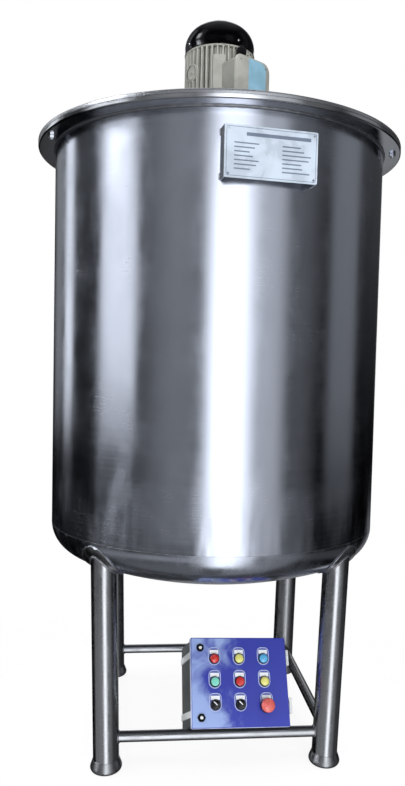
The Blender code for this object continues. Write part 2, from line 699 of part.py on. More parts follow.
def build_cradle(frame, brace_cutter):
    """Two L-shaped bars under and behind the case, joined by straps that reach round its sides."""
    low = (DOOR_HEIGHT - CASE_HEIGHT) / 2
    under = low - GAP
    strap_back = CASE_REAR + GAP
    bar_back = strap_back + STRAP_SHEET
    half = CASE_WIDTH / 2 + GAP
    half_bar = CRADLE_BAR_WIDTH / 2
    cradle = None
    for side, u in (("left", -CRADLE_STAY_U), ("right", CRADLE_STAY_U)):
        low_corner = (u - half_bar, brace_depth(u - half_bar), under - CRADLE_BAR)
        high_corner = (u + half_bar, bar_back + CRADLE_BAR, under)
        if cradle is None:
            cradle = block("panel_cradle", low_corner, high_corner, STEEL, frame)
        else:
            combine(cradle, block(f"cradle_foot_{side}", low_corner, high_corner, None, frame), "UNION")
        upright = block(
            f"cradle_upright_{side}", (u - half_bar, bar_back - MERGE, under - CRADLE_BAR / 2),
            (u + half_bar, bar_back + CRADLE_BAR, CRADLE_STAY_TOP), None, frame,
        )
        combine(cradle, upright, "UNION")
    for level in STRAP_LEVELS:
        bottom, top = level - STRAP_WIDTH / 2, level + STRAP_WIDTH / 2
        back = block(
            f"strap_back_{level}", (-half - STRAP_SHEET, strap_back, bottom),
            (half + STRAP_SHEET, strap_back + STRAP_SHEET, top), None, frame,
        )
        combine(cradle, back, "UNION")
        for side in (-1, 1):
            inner, outer = sorted((side * half, side * (half + STRAP_SHEET)))
            arm = block(
                f"strap_arm_{level}_{side}", (inner, strap_front(side), bottom),
                (outer, strap_back + STRAP_SHEET / 2, top), None, frame,
            )
            combine(cradle, arm, "UNION")
    combine(cradle, brace_cutter, "DIFFERENCE")


def strap_front(side):
    """The straps reach the front edge on the left and stop behind the hinge leaves on the right."""
    return (HINGE_LEAF_REAR if side > 0 else DOOR_DEPTH) + STRAP_SETBACK


def build_door(frame, places):
    hinge_frame = add_empty("door_hinge_frame", (HINGE_U, HINGE_Y, 0), (0, 0, 0), frame)
    on_door = add_empty("door_frame", (-HINGE_U, -HINGE_Y, 0), (0, 0, 0), hinge_frame)
    half = DOOR_WIDTH / 2
    door = block("panel_door", (-half, 0, 0), (half, DOOR_DEPTH, DOOR_HEIGHT), DOOR_PAINT, on_door)
    hollow = block(
        "door_hollow", (-half + DOOR_SHEET, DOOR_SHEET, DOOR_SHEET),
        (half - DOOR_SHEET, DOOR_DEPTH + CUT_REACH, DOOR_HEIGHT - DOOR_SHEET), None, on_door,
    )
    combine(door, hollow, "DIFFERENCE")
    holes = list(places.values()) + [(LOCK_U, v) for v in LOCK_LEVELS]
    punch = cylinders(
        "device_holes", holes, DOOR_HOLE_RADIUS, -CUT_REACH, CUT_REACH, DEVICE_SEGMENTS, on_door
    )
    combine(door, punch, "DIFFERENCE")
    for name, level in zip(("lower", "upper"), HINGE_LEVELS):
        hinge_barrels(f"hinge_{name}", level, frame)
        for helper in hinge_door_knuckle(f"door_knuckle_{name}", level, on_door):
            combine(door, helper, "UNION")
    return on_door


def device_frame(name, place_uv, parent):
    """Local +Z points out of the door's face."""
    u, v = place_uv
    return add_empty(f"{name}_frame", (u, 0, v), (math.pi / 2, 0, 0), parent)


def behind_door(bezel):
    """Lower part of a device's profile: the edge of its bezel, the neck and the block behind the door."""
    rear = -DOOR_SHEET - GAP
    return [
        (bezel, BEZEL_HEIGHT - BEZEL_CHAMFER), (bezel, GAP), (NECK_RADIUS, GAP),
        (NECK_RADIUS, rear), (BLOCK_RADIUS, rear), (BLOCK_RADIUS, -BLOCK_REAR), (0.0, -BLOCK_REAR),
    ]


def pilot_lamp(name, colour, place_uv, parent):
    frame = device_frame(name, place_uv, parent)
    lens = [(0.0, LENS_TOP), (LENS_RADIUS * 0.55, LENS_TOP - 0.0008), (LENS_RADIUS * 0.88, LENS_TOP - 0.003)]
    lens += [(LENS_RADIUS, LENS_TOP - 0.006), (LENS_RADIUS, BEZEL_HEIGHT)]
    bezel = [(BEZEL_RADIUS - BEZEL_CHAMFER, BEZEL_HEIGHT)]
    profile = lens + bezel + behind_door(BEZEL_RADIUS)
    turned(name, profile, DEVICE_SEGMENTS, LENS_COLOURS[colour], frame)


def device_base(name, parent_frame, has_well=False, bezel=BEZEL_RADIUS):
    """Bezel, neck and block, bored for a stem; under a push button's cap the bore widens to a well."""
    bore = [(0.0, -BORE_DEPTH), (BORE_RADIUS, -BORE_DEPTH)]
    if has_well:
        bore += [(BORE_RADIUS, WELL_FLOOR), (WELL_RADIUS, WELL_FLOOR), (WELL_RADIUS, BEZEL_HEIGHT)]
    else:
        bore += [(BORE_RADIUS, BEZEL_HEIGHT)]
    ring = [(bezel - BEZEL_CHAMFER, BEZEL_HEIGHT)]
    turned(name, bore + ring + behind_door(bezel), DEVICE_SEGMENTS, BLACK_PLASTIC, parent_frame)


def push_button(name, colour, place_uv, parent):
    frame = device_frame(name, place_uv, parent)
    device_base(f"{name}_base", frame, has_well=True)
    cap = [(0.0, CAP_TOP), (CAP_RADIUS * 0.6, CAP_TOP - 0.0005), (CAP_RADIUS * 0.9, CAP_TOP - 0.0018)]
    cap += [(CAP_RADIUS, CAP_TOP - 0.0035), (CAP_RADIUS, CAP_UNDERSIDE), (STEM_RADIUS, CAP_UNDERSIDE)]
    cap += [(STEM_RADIUS, -STEM_DEPTH), (0.0, -STEM_DEPTH)]
    turned(f"{name}_cap", cap, DEVICE_SEGMENTS, LENS_COLOURS[colour], frame)


def selector(name, place_uv, parent):
    frame = device_frame(name, place_uv, parent)
    device_base(f"{name}_base", frame)
    underside = BEZEL_HEIGHT + KNOB_EDGE
    knob = [(0.0, KNOB_TOP), (KNOB_RADIUS - KNOB_EDGE, KNOB_TOP), (KNOB_RADIUS, KNOB_TOP - KNOB_EDGE)]
    knob += [(KNOB_RADIUS, underside), (STEM_RADIUS, underside)]
    knob += [(STEM_RADIUS, -STEM_DEPTH), (0.0, -STEM_DEPTH)]
    turning = add_empty(f"{name}_turn", (0, 0, 0), (0, 0, SELECTOR_REST_TURN), frame)
    piece = turned(f"{name}_knob", knob, DEVICE_SEGMENTS, BLACK_PLASTIC, turning)
    grip = block(
        f"{name}_grip", (-GRIP_WIDTH / 2, -GRIP_LENGTH / 2, KNOB_TOP - KNOB_EDGE),
        (GRIP_WIDTH / 2, GRIP_LENGTH / 2, GRIP_TOP), None, turning,
    )
    bevel_edges(grip, KNOB_EDGE, 1)
    combine(piece, grip, "UNION")


def emergency_stop(place_uv, parent):
    frame = device_frame("emergency_stop", place_uv, parent)
    device_base("emergency_stop_base", frame, bezel=STOP_BEZEL_RADIUS)
    head = [(0.0, MUSHROOM_TOP)]
    head += [(MUSHROOM_RADIUS * 0.5, MUSHROOM_TOP - 0.0012), (MUSHROOM_RADIUS * 0.85, MUSHROOM_TOP - 0.0045)]
    head += [(MUSHROOM_RADIUS, MUSHROOM_TOP - 0.009), (MUSHROOM_RADIUS, MUSHROOM_UNDERSIDE + 0.002)]
    head += [(MUSHROOM_RADIUS - 0.003, MUSHROOM_UNDERSIDE), (STEM_RADIUS, MUSHROOM_UNDERSIDE)]
    head += [(STEM_RADIUS, -STEM_DEPTH), (0.0, -STEM_DEPTH)]
    turned("emergency_stop_head", head, DEVICE_SEGMENTS + 4, LENS_COLOURS["red"], frame)


def door_lock(name, place_uv, parent):
    frame = device_frame(name, place_uv, parent)
    shoulder = LOCK_TOP - LOCK_CHAMFER
    lock = [(0.0, LOCK_TOP), (LOCK_RADIUS - LOCK_CHAMFER, LOCK_TOP), (LOCK_RADIUS, shoulder)]
    lock += [(LOCK_RADIUS, GAP), (LOCK_NECK_RADIUS, GAP), (LOCK_NECK_RADIUS, -LOCK_REAR), (0.0, -LOCK_REAR)]
    turned(name, lock, DEVICE_SEGMENTS, BLACK_PLASTIC, frame)


def build_panel():
    lean = add_empty("panel_lean", panel_base(), (-PANEL_LEAN, 0, 0))
    frame = add_empty("panel_frame", (0, 0, 0), (0, 0, PANEL_TURN), lean)
    half = leg_half_spacing(BRACE_Z)
    brace_cutter = cylinder("brace_cutter", BRACE_RADIUS + GAP, -half, half, 32)
    place(brace_cutter, (0, -half, BRACE_Z), (0, math.pi / 2, 0))
    places = device_places()
    build_case(frame)
    build_cradle(frame, brace_cutter)
    on_door = build_door(frame, places)
    pilot_lamp("lamp_red", "red", places[1, 1], on_door)
    pilot_lamp("lamp_yellow", "yellow", places[1, 2], on_door)
    pilot_lamp("lamp_blue", "blue", places[1, 3], on_door)
    push_button("start_button", "green", places[2, 1], on_door)
    push_button("stop_button", "red", places[2, 2], on_door)
    pilot_lamp("lamp_trip", "yellow", places[2, 3], on_door)
    selector("selector_left", places[3, 1], on_door)
    selector("selector_right", places[3, 2], on_door)
    emergency_stop(places[3, 3], on_door)
    for name, level in zip(("lower", "upper"), LOCK_LEVELS):
        door_lock(f"door_lock_{name}", (LOCK_U, level), on_door)


def smooth_round_pieces():
    for piece in PARTS.objects:
        if piece.type == "MESH":
            piece.data.shade_smooth()
            piece.data.set_sharp_from_angle(angle=math.radians(35))


build_vessel()
build_legs()
build_motor()
build_name_plate()
build_panel()
smooth_round_pieces()
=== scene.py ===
"""Looks of the stainless steel mixing tank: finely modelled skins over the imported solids, procedural
materials, a studio with tall soft boxes, and the camera.

Metres, +Z up, front towards -Y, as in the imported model.
"""

import math

import bmesh
import bpy
from mathutils import Matrix, Vector


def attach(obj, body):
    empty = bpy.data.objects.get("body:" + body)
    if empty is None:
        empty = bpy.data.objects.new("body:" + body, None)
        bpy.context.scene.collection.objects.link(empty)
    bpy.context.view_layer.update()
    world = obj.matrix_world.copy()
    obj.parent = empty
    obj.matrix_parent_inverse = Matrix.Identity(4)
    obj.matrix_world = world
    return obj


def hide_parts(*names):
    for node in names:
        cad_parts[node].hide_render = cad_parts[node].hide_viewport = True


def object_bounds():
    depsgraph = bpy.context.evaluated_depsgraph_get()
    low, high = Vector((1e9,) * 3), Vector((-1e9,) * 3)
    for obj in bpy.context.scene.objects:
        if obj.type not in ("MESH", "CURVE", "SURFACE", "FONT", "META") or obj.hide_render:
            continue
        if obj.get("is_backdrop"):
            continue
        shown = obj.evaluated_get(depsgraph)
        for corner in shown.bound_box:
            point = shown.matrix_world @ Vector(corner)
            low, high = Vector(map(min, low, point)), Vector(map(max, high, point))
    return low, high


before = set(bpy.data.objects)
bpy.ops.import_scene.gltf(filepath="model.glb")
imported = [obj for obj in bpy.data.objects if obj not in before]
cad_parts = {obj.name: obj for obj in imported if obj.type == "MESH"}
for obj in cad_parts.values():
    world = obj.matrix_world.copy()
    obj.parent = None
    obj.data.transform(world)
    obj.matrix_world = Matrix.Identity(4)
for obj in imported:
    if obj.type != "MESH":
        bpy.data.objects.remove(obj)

CAD_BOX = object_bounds()

# Clearance that the solids leave between neighbours
GAP = 0.0003

# Vessel
SHELL_RADIUS = 0.525
SHEET = 0.003
KNUCKLE_TOP_Z = 0.681
KNUCKLE_RADIUS = 0.094
CROWN_RADIUS = 1.24
VESSEL_SIDES = 256
KNUCKLE_STEPS = 28
CROWN_STEPS = 24
SEAM_RADIUS = 0.0008
SEAM_SINK = 0.0007

# Radii of the weld beads, and the length of each drop
FLANGE_WELD = 0.0034
LEG_WELD = 0.0036
PAD_WELD = 0.0024
BRACE_WELD = 0.0026
TACK_WELD = 0.0022
DROP_PITCH = 0.0022

# Flange and lid
RIM_RADIUS = 0.578
RIM_ROUNDING = 0.005
RIM_EASE = 0.0006
FLANGE_BOTTOM_Z = 1.852
LID_BOTTOM_Z = 1.864
LID_TOP_Z = 1.876
LID_RING_INNER_RADIUS = 0.512
RIM_BOLT_RADIUS = 0.553
RIM_BOLT_AZIMUTHS = (-111.0, -69.0, 69.0, 111.0)
RIM_BOLT_FLATS = 0.018
RIM_WASHER_RADIUS = 0.0115
RIM_WASHER = 0.0015
RIM_BOLT_HEAD = 0.009
RIM_NUT = 0.009
THREAD_RADIUS = 0.0058
THREAD_LENGTH = 0.0135

# Legs, feet, pads and braces
LEG_RADIUS = 0.0381
LEG_WALL = 0.003
LEG_HALF_SPACING_TOP = 0.3417
LEG_HALF_SPACING_FLOOR = 0.3255
LEG_TOP_Z = 0.70
LEG_SIDES = 64
TUBE_STEPS = 8
PAD_THICKNESS = 0.003
PAD_RADIUS = 0.066
PAD_CENTRE_Z = 0.622
PAD_EASE = 0.0008
FOOT_RADIUS = 0.0465
FOOT_BASE = 0.010
FOOT_COLLAR = 0.036
FOOT_ROUNDING = 0.012
BRACE_RADIUS = 0.0159
BRACE_WALL = 0.002
BRACE_Z = 0.097
BRACE_SIDES = 40
CORNERS = {"front_left": (-1, -1), "front_right": (1, -1), "rear_left": (-1, 1), "rear_right": (1, 1)}

# Motor, a little to the left of the tank's axis
MOTOR_X = -0.007
PEDESTAL_FLANGE_RADIUS = 0.150
PEDESTAL_BARREL_RADIUS = 0.082
PEDESTAL_BORE_RADIUS = 0.030
PEDESTAL_TOP_RADIUS = 0.125
PEDESTAL_TOP_Z = 1.966
PEDESTAL_FLANGE = 0.012
PEDESTAL_BOLT_RADIUS = 0.134
PEDESTAL_BOLTS = 8
PEDESTAL_BOLT_FLATS = 0.016
PEDESTAL_WASHER_RADIUS = 0.0105
PEDESTAL_WASHER = 0.0012
PEDESTAL_BOLT_TOP = 0.0086
MOTOR_BOLT_RADIUS = 0.112
MOTOR_BOLTS = 4
END_SHIELD_TOP_Z = 1.996
END_SHIELD_NECK_RADIUS = 0.100
END_SHIELD_SLOPE = 0.008
FIN_COUNT = 40
FIN_TIP_RADIUS = 0.112
FIN_ROOT_RADIUS = 0.100
FIN_TIP_SHARE = 0.17
FIN_ROOT_SHARE = 0.24
COLLAR_HEIGHT = 0.005
COVER_RADIUS = 0.1135
COVER_BOTTOM_Z = 2.1875
COVER_SHOULDER_Z = 2.2085
COVER_TOP_Z = 2.290
COVER_POWER = 0.8
COVER_INSET = 0.0006
COVER_RIB_DROPS = (0.001, 0.0025, 0.005, 0.009)
COVER_RIB_RADIUS = 0.0011
COVER_RIB_SINK = 0.0009
COVER_SCREW_AZIMUTH = -64.0
TERMINAL_AZIMUTH = 35.0
TERMINAL_WIDTH = 0.140
TERMINAL_HEIGHT = 0.130
TERMINAL_CENTRE_Z = 2.073
TERMINAL_FACE = 0.165
TERMINAL_LID = 0.014
TERMINAL_INSET = 0.004
TERMINAL_CORNER = 0.018
TERMINAL_CUT = 0.030
TERMINAL_LABEL = (-0.022, 0.051, -0.046, 0.060)
GLAND_U = -0.024
GLAND_DEPTH = 0.034
GLAND_FLATS = 0.026
GLAND_NUT_FLATS = 0.028
GLAND_RADIUS = 0.0125
MOTOR_PLATE_AZIMUTH = -6.0
MOTOR_PLATE_SIZE = (0.038, 0.110)
MOTOR_PLATE_Z = 2.100
BOSS_AZIMUTH = -57.6
BOSS_RADIUS = 0.027
BOSS_Z = 2.112
EYE_AZIMUTH = 44.0
EYE_Z = 2.160
EYE_RADIUS = 0.011
EYE_THICKNESS = 0.0042

# Name plate on a backing sheet, whose side webs reach back to the shell
PLATE_AZIMUTH = 8.2
PLATE_DISTANCE = 0.552
PLATE_CENTRE_Z = 1.728
PLATE_WIDTH = 0.2505
PLATE_HEIGHT = 0.1325
PLATE_SHEET = 0.0015
TRAY_SHEET = 0.002
PRINT_DEPTH = 0.0005
PRINT_RISE = 0.0001
PRINT_ROWS = 7
PRINT_PITCH = 0.0108
PRINT_TOP = 0.046
PRINT_HEIGHT = 0.0034
PLATE_SCREW_INSET = 0.010
PLATE_SCREW_RADIUS = 0.0034
PRINT_COLUMNS = ((-0.100, 0.066), (0.028, 0.080))

# Control box: u runs to the right from the middle of the door, v up from its lower edge
PANEL_X = 0.066
PANEL_FACE_Y = -0.374
PANEL_LEAN = 30.0
PANEL_TURN = 5.9
DOOR_WIDTH = 0.296
DOOR_HEIGHT = 0.253
DOOR_DEPTH = 0.018
DOOR_SHEET = 0.0015
DOOR_ROUNDING = 0.0025
DOOR_CORNER = 0.004
GASKET_CORNER = 0.020
CASE_WIDTH = 0.292
CASE_HEIGHT = 0.243
CASE_REAR = 0.180
CASE_SHEET = 0.0015
CASE_ROUNDING = 0.003
CASE_LIP = 0.012
DOOR_CLEARANCE = 0.0008
HINGE_U = 0.1540
HINGE_Y = 0.009
HINGE_LEVELS = {"lower": 0.058, "upper": 0.195}
HINGE_LENGTH = 0.045
HINGE_BARREL_RADIUS = 0.005
HINGE_PIN_RADIUS = 0.002
HINGE_LEAF = 0.0015
HINGE_DOOR_CLEARANCE = 0.004
HINGE_LEAF_REAR = 0.046

# Devices on the door
GRID_CENTRE_U = -0.0006
COLUMN_PITCH = 0.0761
ROW_LEVELS = (0.1918, 0.1265, 0.0628)
STOP_SHIFT = (0.0026, -0.0044)
LOCK_U = -0.119
LOCK_LEVELS = {"lower": 0.029, "upper": 0.2235}
LOCK_TURNS = {"lower": 0.0, "upper": 30.0}
DOOR_HOLE_RADIUS = 0.0113
NECK_RADIUS = 0.0109
BEZEL_RADIUS = 0.0152
BEZEL_HEIGHT = 0.0065
BEZEL_CHAMFER = 0.0015
BLOCK_RADIUS = 0.0140
BLOCK_REAR = 0.042
RING_DEPTH = 0.0095
RING_FLOOR = 0.0005
LENS_RADIUS = 0.0132
LENS_TOP = 0.0140
CAP_RADIUS = 0.0126
CAP_TOP = 0.0115
CAP_UNDERSIDE = 0.0050
WELL_RADIUS = 0.0130
WELL_FLOOR = 0.0012
BORE_RADIUS = 0.0092
STEM_RADIUS = 0.0088
STEM_DEPTH = 0.005
KNOB_RADIUS = 0.0128
KNOB_TOP = 0.0120
KNOB_EDGE = 0.001
GRIP_WIDTH = 0.0075
GRIP_LENGTH = 0.0245
GRIP_TOP = 0.0205
SELECTOR_REST_TURN = 45.0
STOP_BEZEL_RADIUS = 0.0200
MUSHROOM_RADIUS = 0.0205
MUSHROOM_UNDERSIDE = 0.0150
MUSHROOM_TOP = 0.0300
LOCK_RADIUS = 0.0120
LOCK_NECK_RADIUS = 0.0106
LOCK_TOP = 0.0055
LOCK_REAR = 0.020
LEGEND_RADIUS = 0.0185
LEGEND_TOP = 0.0325
LEGEND_CORNER = 0.013
LEGEND_SHEET = 0.0008
STOP_LEGEND_SHIFT = 0.004
TAG_SIZE = (0.0270, 0.0112)
TAG_RISE = 0.0193
TAG_SHEET = 0.0009
DEVICE_SIDES = 48

# Camera
CAMERA_PLACE = (-0.24418, -2.38800, 1.18124)
CAMERA_RIGHT = (0.99474269, -0.09983223, 0.02281452)
CAMERA_UP = (-0.01719459, 0.05679651, 0.9982377)
LENS_LENGTH = 32.88
SENSOR = 36.0
SHIFT = (-0.01357, 0.01785)

# Studio lights, in degrees round the tank from the front. Each has its start, end and soft edge round the
# tank, its lower and upper end over the horizon, and its brightness. The window shines on gloss only.
SOFT_BOXES = (
    (-155.0, -136.0, 10.0, -4.0, 50.0, 0.22),
    (-132.0, -120.0, 5.0, -4.0, 50.0, 1.30),
    (-89.0, -60.0, 5.0, -4.0, 14.0, 1.35),
    (-89.0, -60.0, 5.0, 14.0, 58.0, 0.80),
    (-97.0, -14.0, 8.0, -36.0, -21.0, 0.36),
    (-55.0, -14.0, 12.0, -36.0, -21.0, 0.10),
    (-97.0, -14.0, 8.0, -120.0, -36.0, 0.13),
    (-50.0, -12.0, 44.0, -14.0, 34.0, 0.26),
    (-9.5, 16.0, 16.0, -52.0, 21.0, 2.6),
    (16.0, 40.0, 12.0, -16.0, 34.0, 0.62),
    (12.0, 62.0, 16.0, -120.0, -16.0, 0.26),
    (40.0, 62.0, 20.0, -16.0, 34.0, 0.10),
    (62.0, 120.0, 20.0, -36.0, -19.0, 0.08),
    (76.0, 104.0, 10.0, -8.0, 50.0, 0.20),
    (158.0, 205.0, 14.0, -4.0, 50.0, 1.5),
    (140.0, 180.0, 8.0, -50.0, -12.0, 0.30),
    (182.0, 220.0, 8.0, -50.0, -12.0, 0.07),
)
WINDOW = (-91.0, -76.0, 2.0, 27.0, 43.0, 22.0)
BOX_SOFTNESS = 3.5
ROOM_BRIGHTNESS = 0.07
FLOOR_SHINE = 0.06
PAINT_LIGHT = 1.72
CEILING_BRIGHTNESS = 1.9
CEILING_SHINE = 0.45
BACKDROP = 1.0
FLOOR_GLOW = 0.90
FLOOR_REACH = 9.0
FLOOR_FADE = (0.45, 1.5)
FLOOR_TONES = ((0.12, 0.12, 0.12), (0.14, 0.14, 0.14))
STUDIO_TINT = (0.93, 0.96, 1.0, 1.0)

# Where the ceiling, the room and the shine of the ground fade, in degrees over the horizon
CEILING_EDGE = (48.0, 75.0)
ROOM_EDGE = (-10.0, 24.0)
GROUND_EDGE = (-60.0, -38.0)

# Finishes
STEEL_COLOUR = (0.60, 0.61, 0.64)
SHELL_COLOUR = (0.57, 0.60, 0.68)
TUBE_COLOUR = (0.46, 0.465, 0.48)
MOTOR_COLOUR = (0.37, 0.365, 0.32)
DOOR_COLOUR = (0.037, 0.050, 0.38)
# Pale colour of the door's painted reflection
DOOR_PAINTED_REFLECTION = (0.30, 0.40, 0.70)
FOOT_COLOUR = (0.38, 0.385, 0.40)
GRAIN_TURN = 0.25

QUARTER = math.pi / 2


# Places and points

def shift(x, y, z=0.0):
    """A move."""
    return Matrix.Translation((x, y, z))


def spin(degrees, axis="Z"):
    """A turn round an axis."""
    return Matrix.Rotation(math.radians(degrees), 4, axis)


def polar(radius, angle, height=0.0):
    """A point by its distance and direction from the Z axis."""
    return (radius * math.cos(angle), radius * math.sin(angle), height)


def turns(count):
    """Evenly spaced angles round a circle."""
    return [2 * math.pi * j / count for j in range(count)]


def circle(radius, height, count):
    """Points round a circle at one height."""
    return [polar(radius, angle, height) for angle in turns(count)]


# Shapes: outlines are points, and skins are points and faces

def lathe(profile, sides, loop=False):
    """A profile of (radius, height), turned about Z."""
    points = []
    rows = []
    for radius, height in profile:
        start = len(points)
        if radius < 1e-6:
            rows.append([start] * sides)
            points.append((0.0, 0.0, height))
            continue
        rows.append(range(start, start + sides))
        points += circle(radius, height, sides)
    faces = []
    for low, high in zip(rows, rows[1:] + ([rows[0]] if loop else [])):
        for j in range(sides):
            k = (j + 1) % sides
            faces.append(tuple(dict.fromkeys((low[j], low[k], high[k], high[j]))))
    return points, faces


def loft(rings, loop=False, capped=False):
    """A skin over rings of points, each with the same count; loop joins the last to the first."""
    count = len(rings[0])
    points = [point for ring in rings for point in ring]
    faces = []
    for i in range(len(rings) if loop else len(rings) - 1):
        low = i * count
        high = (i + 1) % len(rings) * count
        for j in range(count):
            k = (j + 1) % count
            faces.append((low + j, low + k, high + k, high + j))
    if capped:
        faces.append(tuple(range(count)))
        faces.append(tuple(range(len(points) - count, len(points))))
    return points, faces


def cylinder(radius, low, high, sides=32):
    """A plain disc or pin."""
    return lathe([(0.0, low), (radius, low), (radius, high), (0.0, high)], sides)


def dome(radius, low, high, steps, power):
    """Profile from the edge of a dome up to the axis; a lower power gives rounder shoulders."""
    points = []
    for i in range(steps):
        angle = QUARTER * i / steps
        points.append((radius * math.cos(angle) ** power, low + (high - low) * math.sin(angle)))
    return points + [(0.0, high)]


def arc(centre, radius, start, end, steps):
    """Points on a circle in the profile plane; angles in radians from the outward direction."""
    points = []
    for i in range(steps + 1):
        angle = start + (end - start) * i / steps
        points.append((centre[0] + radius * math.cos(angle), centre[1] + radius * math.sin(angle)))
    return points


def inset(outline, distance):
    """The same flat outline with each point moved inwards along the corner's bisector."""
    moved = []
    for i, (x, y) in enumerate(outline):
        before = Vector(outline[i - 1])
        here = Vector((x, y))
        after = Vector(outline[(i + 1) % len(outline)])
        first = (here - before).normalized()
        second = (after - here).normalized()
        inward = Vector((-first.y - second.y, first.x + second.x)).normalized()
        shrink = max(0.3, abs(inward.dot(Vector((-first.y, first.x)))))
        moved.append(tuple(here + inward * distance / shrink))
    return moved


def levelled(levels):
    """Rings of points from flat outlines, given as (outline, height) pairs."""
    return [[(x, y, z) for x, y in flat] for flat, z in levels]


def stacked(levels):
    """A skin over flat outlines at rising heights, closed at both ends."""
    return loft(levelled(levels), capped=True)


def prism(outline, low, high, chamfer):
    """An anticlockwise outline of (x, y) points between two heights, with its edges eased."""
    small = inset(outline, chamfer)
    return stacked([(small, low), (outline, low + chamfer), (outline, high - chamfer), (small, high)])


def rounding(border, radius, end, steps, side=1):
    """Levels over a round edge, from its full outline to where it ends; border draws an outline in."""
    curve = arc((0.0, 0.0), radius, 0.0, QUARTER, steps)
    return [(border(radius - out), end - side * (radius - rise)) for out, rise in curve]


def rounded_rectangle(left, right, low, high, radius, steps=5):
    """Anticlockwise outline with round corners."""
    corners = (
        (right - radius, high - radius, 0.0), (left + radius, high - radius, 90.0),
        (left + radius, low + radius, 180.0), (right - radius, low + radius, 270.0),
    )
    points = []
    for x, y, start in corners:
        points += arc((x, y), radius, math.radians(start), math.radians(start + 90.0), steps)
    return points


def centred(half_w, half_h, corner, steps=5):
    """Outline with round corners and its middle at the origin."""
    return rounded_rectangle(-half_w, half_w, -half_h, half_h, corner, steps)


def polygon(radius, sides, turn=0.0, centre=(0.0, 0.0)):
    """Regular outline with its first corner at the turn, in degrees from +x."""
    start = math.radians(turn)
    return arc(centre, radius, start, start + 2 * math.pi * (sides - 1) / sides, sides - 1)


def plate(outline, low, high, holes=()):
    """A flat outline between two heights, with holes that are outlines too."""
    flat = bmesh.new()
    edges = []
    loops = []
    for loop in (outline, *holes):
        corners = [flat.verts.new((x, y, low)) for x, y in loop]
        edges += [flat.edges.new((corners[i - 1], corners[i])) for i in range(len(corners))]
        loops.append((len(flat.verts) - len(corners), len(corners)))
    bmesh.ops.triangle_fill(flat, use_beauty=True, edges=edges)
    flat.verts.index_update()
    flat.verts.ensure_lookup_table()
    points = [tuple(corner.co) for corner in flat.verts]
    faces = [tuple(corner.index for corner in face.verts) for face in flat.faces]
    flat.free()
    count = len(points)
    faces += [tuple(i + count for i in reversed(face)) for face in faces]
    for start, length in loops:
        for j in range(length):
            k = start + (j + 1) % length
            j += start
            faces.append((j, k, k + count, j + count))
    return points + [(x, y, high) for x, y, z in points], faces


def hexagon(across_flats, low, high, turn=0.0):
    """A bolt's head or nut, with the corners of both faces turned off a little."""
    outer = across_flats / math.sqrt(3)
    ease = across_flats * 0.05
    flat = polygon(outer, 6, turn)
    small = polygon(outer - ease, 6, turn)
    return stacked([(small, low), (flat, low + ease / 2), (flat, high - ease), (small, high)])


class Shape:
    """Collects several parts into one mesh."""

    def __init__(self):
        self.points = []
        self.faces = []

    def add(self, part, place=Matrix()):
        points, faces = part
        start = len(self.points)
        self.points += [place @ Vector(point) for point in points]
        self.faces += [tuple(start + i for i in face) for face in faces]
        return self

    def __iter__(self):
        """Unpacks into points and faces, as any skin does."""
        return iter((self.points, self.faces))


def piece(name, part, finish, body="tank", place=Matrix(), stands_for=(), sharp=35.0):
    """Makes a piece from points and faces, and lets it ride on a body."""
    points, faces = part
    mesh = bpy.data.meshes.new(name)
    mesh.from_pydata(points, [], faces)
    clean = bmesh.new()
    clean.from_mesh(mesh)
    bmesh.ops.recalc_face_normals(clean, faces=clean.faces)
    clean.to_mesh(mesh)
    clean.free()
    mesh.shade_smooth()
    mesh.set_sharp_from_angle(angle=math.radians(sharp))
    made = bpy.data.objects.new(name, mesh)
    bpy.context.scene.collection.objects.link(made)
    made.matrix_world = place
    mesh.materials.append(finish)
    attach(made, body)
    finish["slot"]
    if stands_for:
        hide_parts(*stands_for)
    return made


# Materials

# Places of the factor and the two colours among a mix node's inputs, and of the colour among its outputs
MIX_INPUTS = (0, 6, 7)
MIX_RESULT = 2


def plug(tree, socket, value):
    """Links a node's output to a socket, or sets the socket to a plain value."""
    if isinstance(value, bpy.types.NodeSocket):
        tree.links.new(value, socket)
    else:
        socket.default_value = value


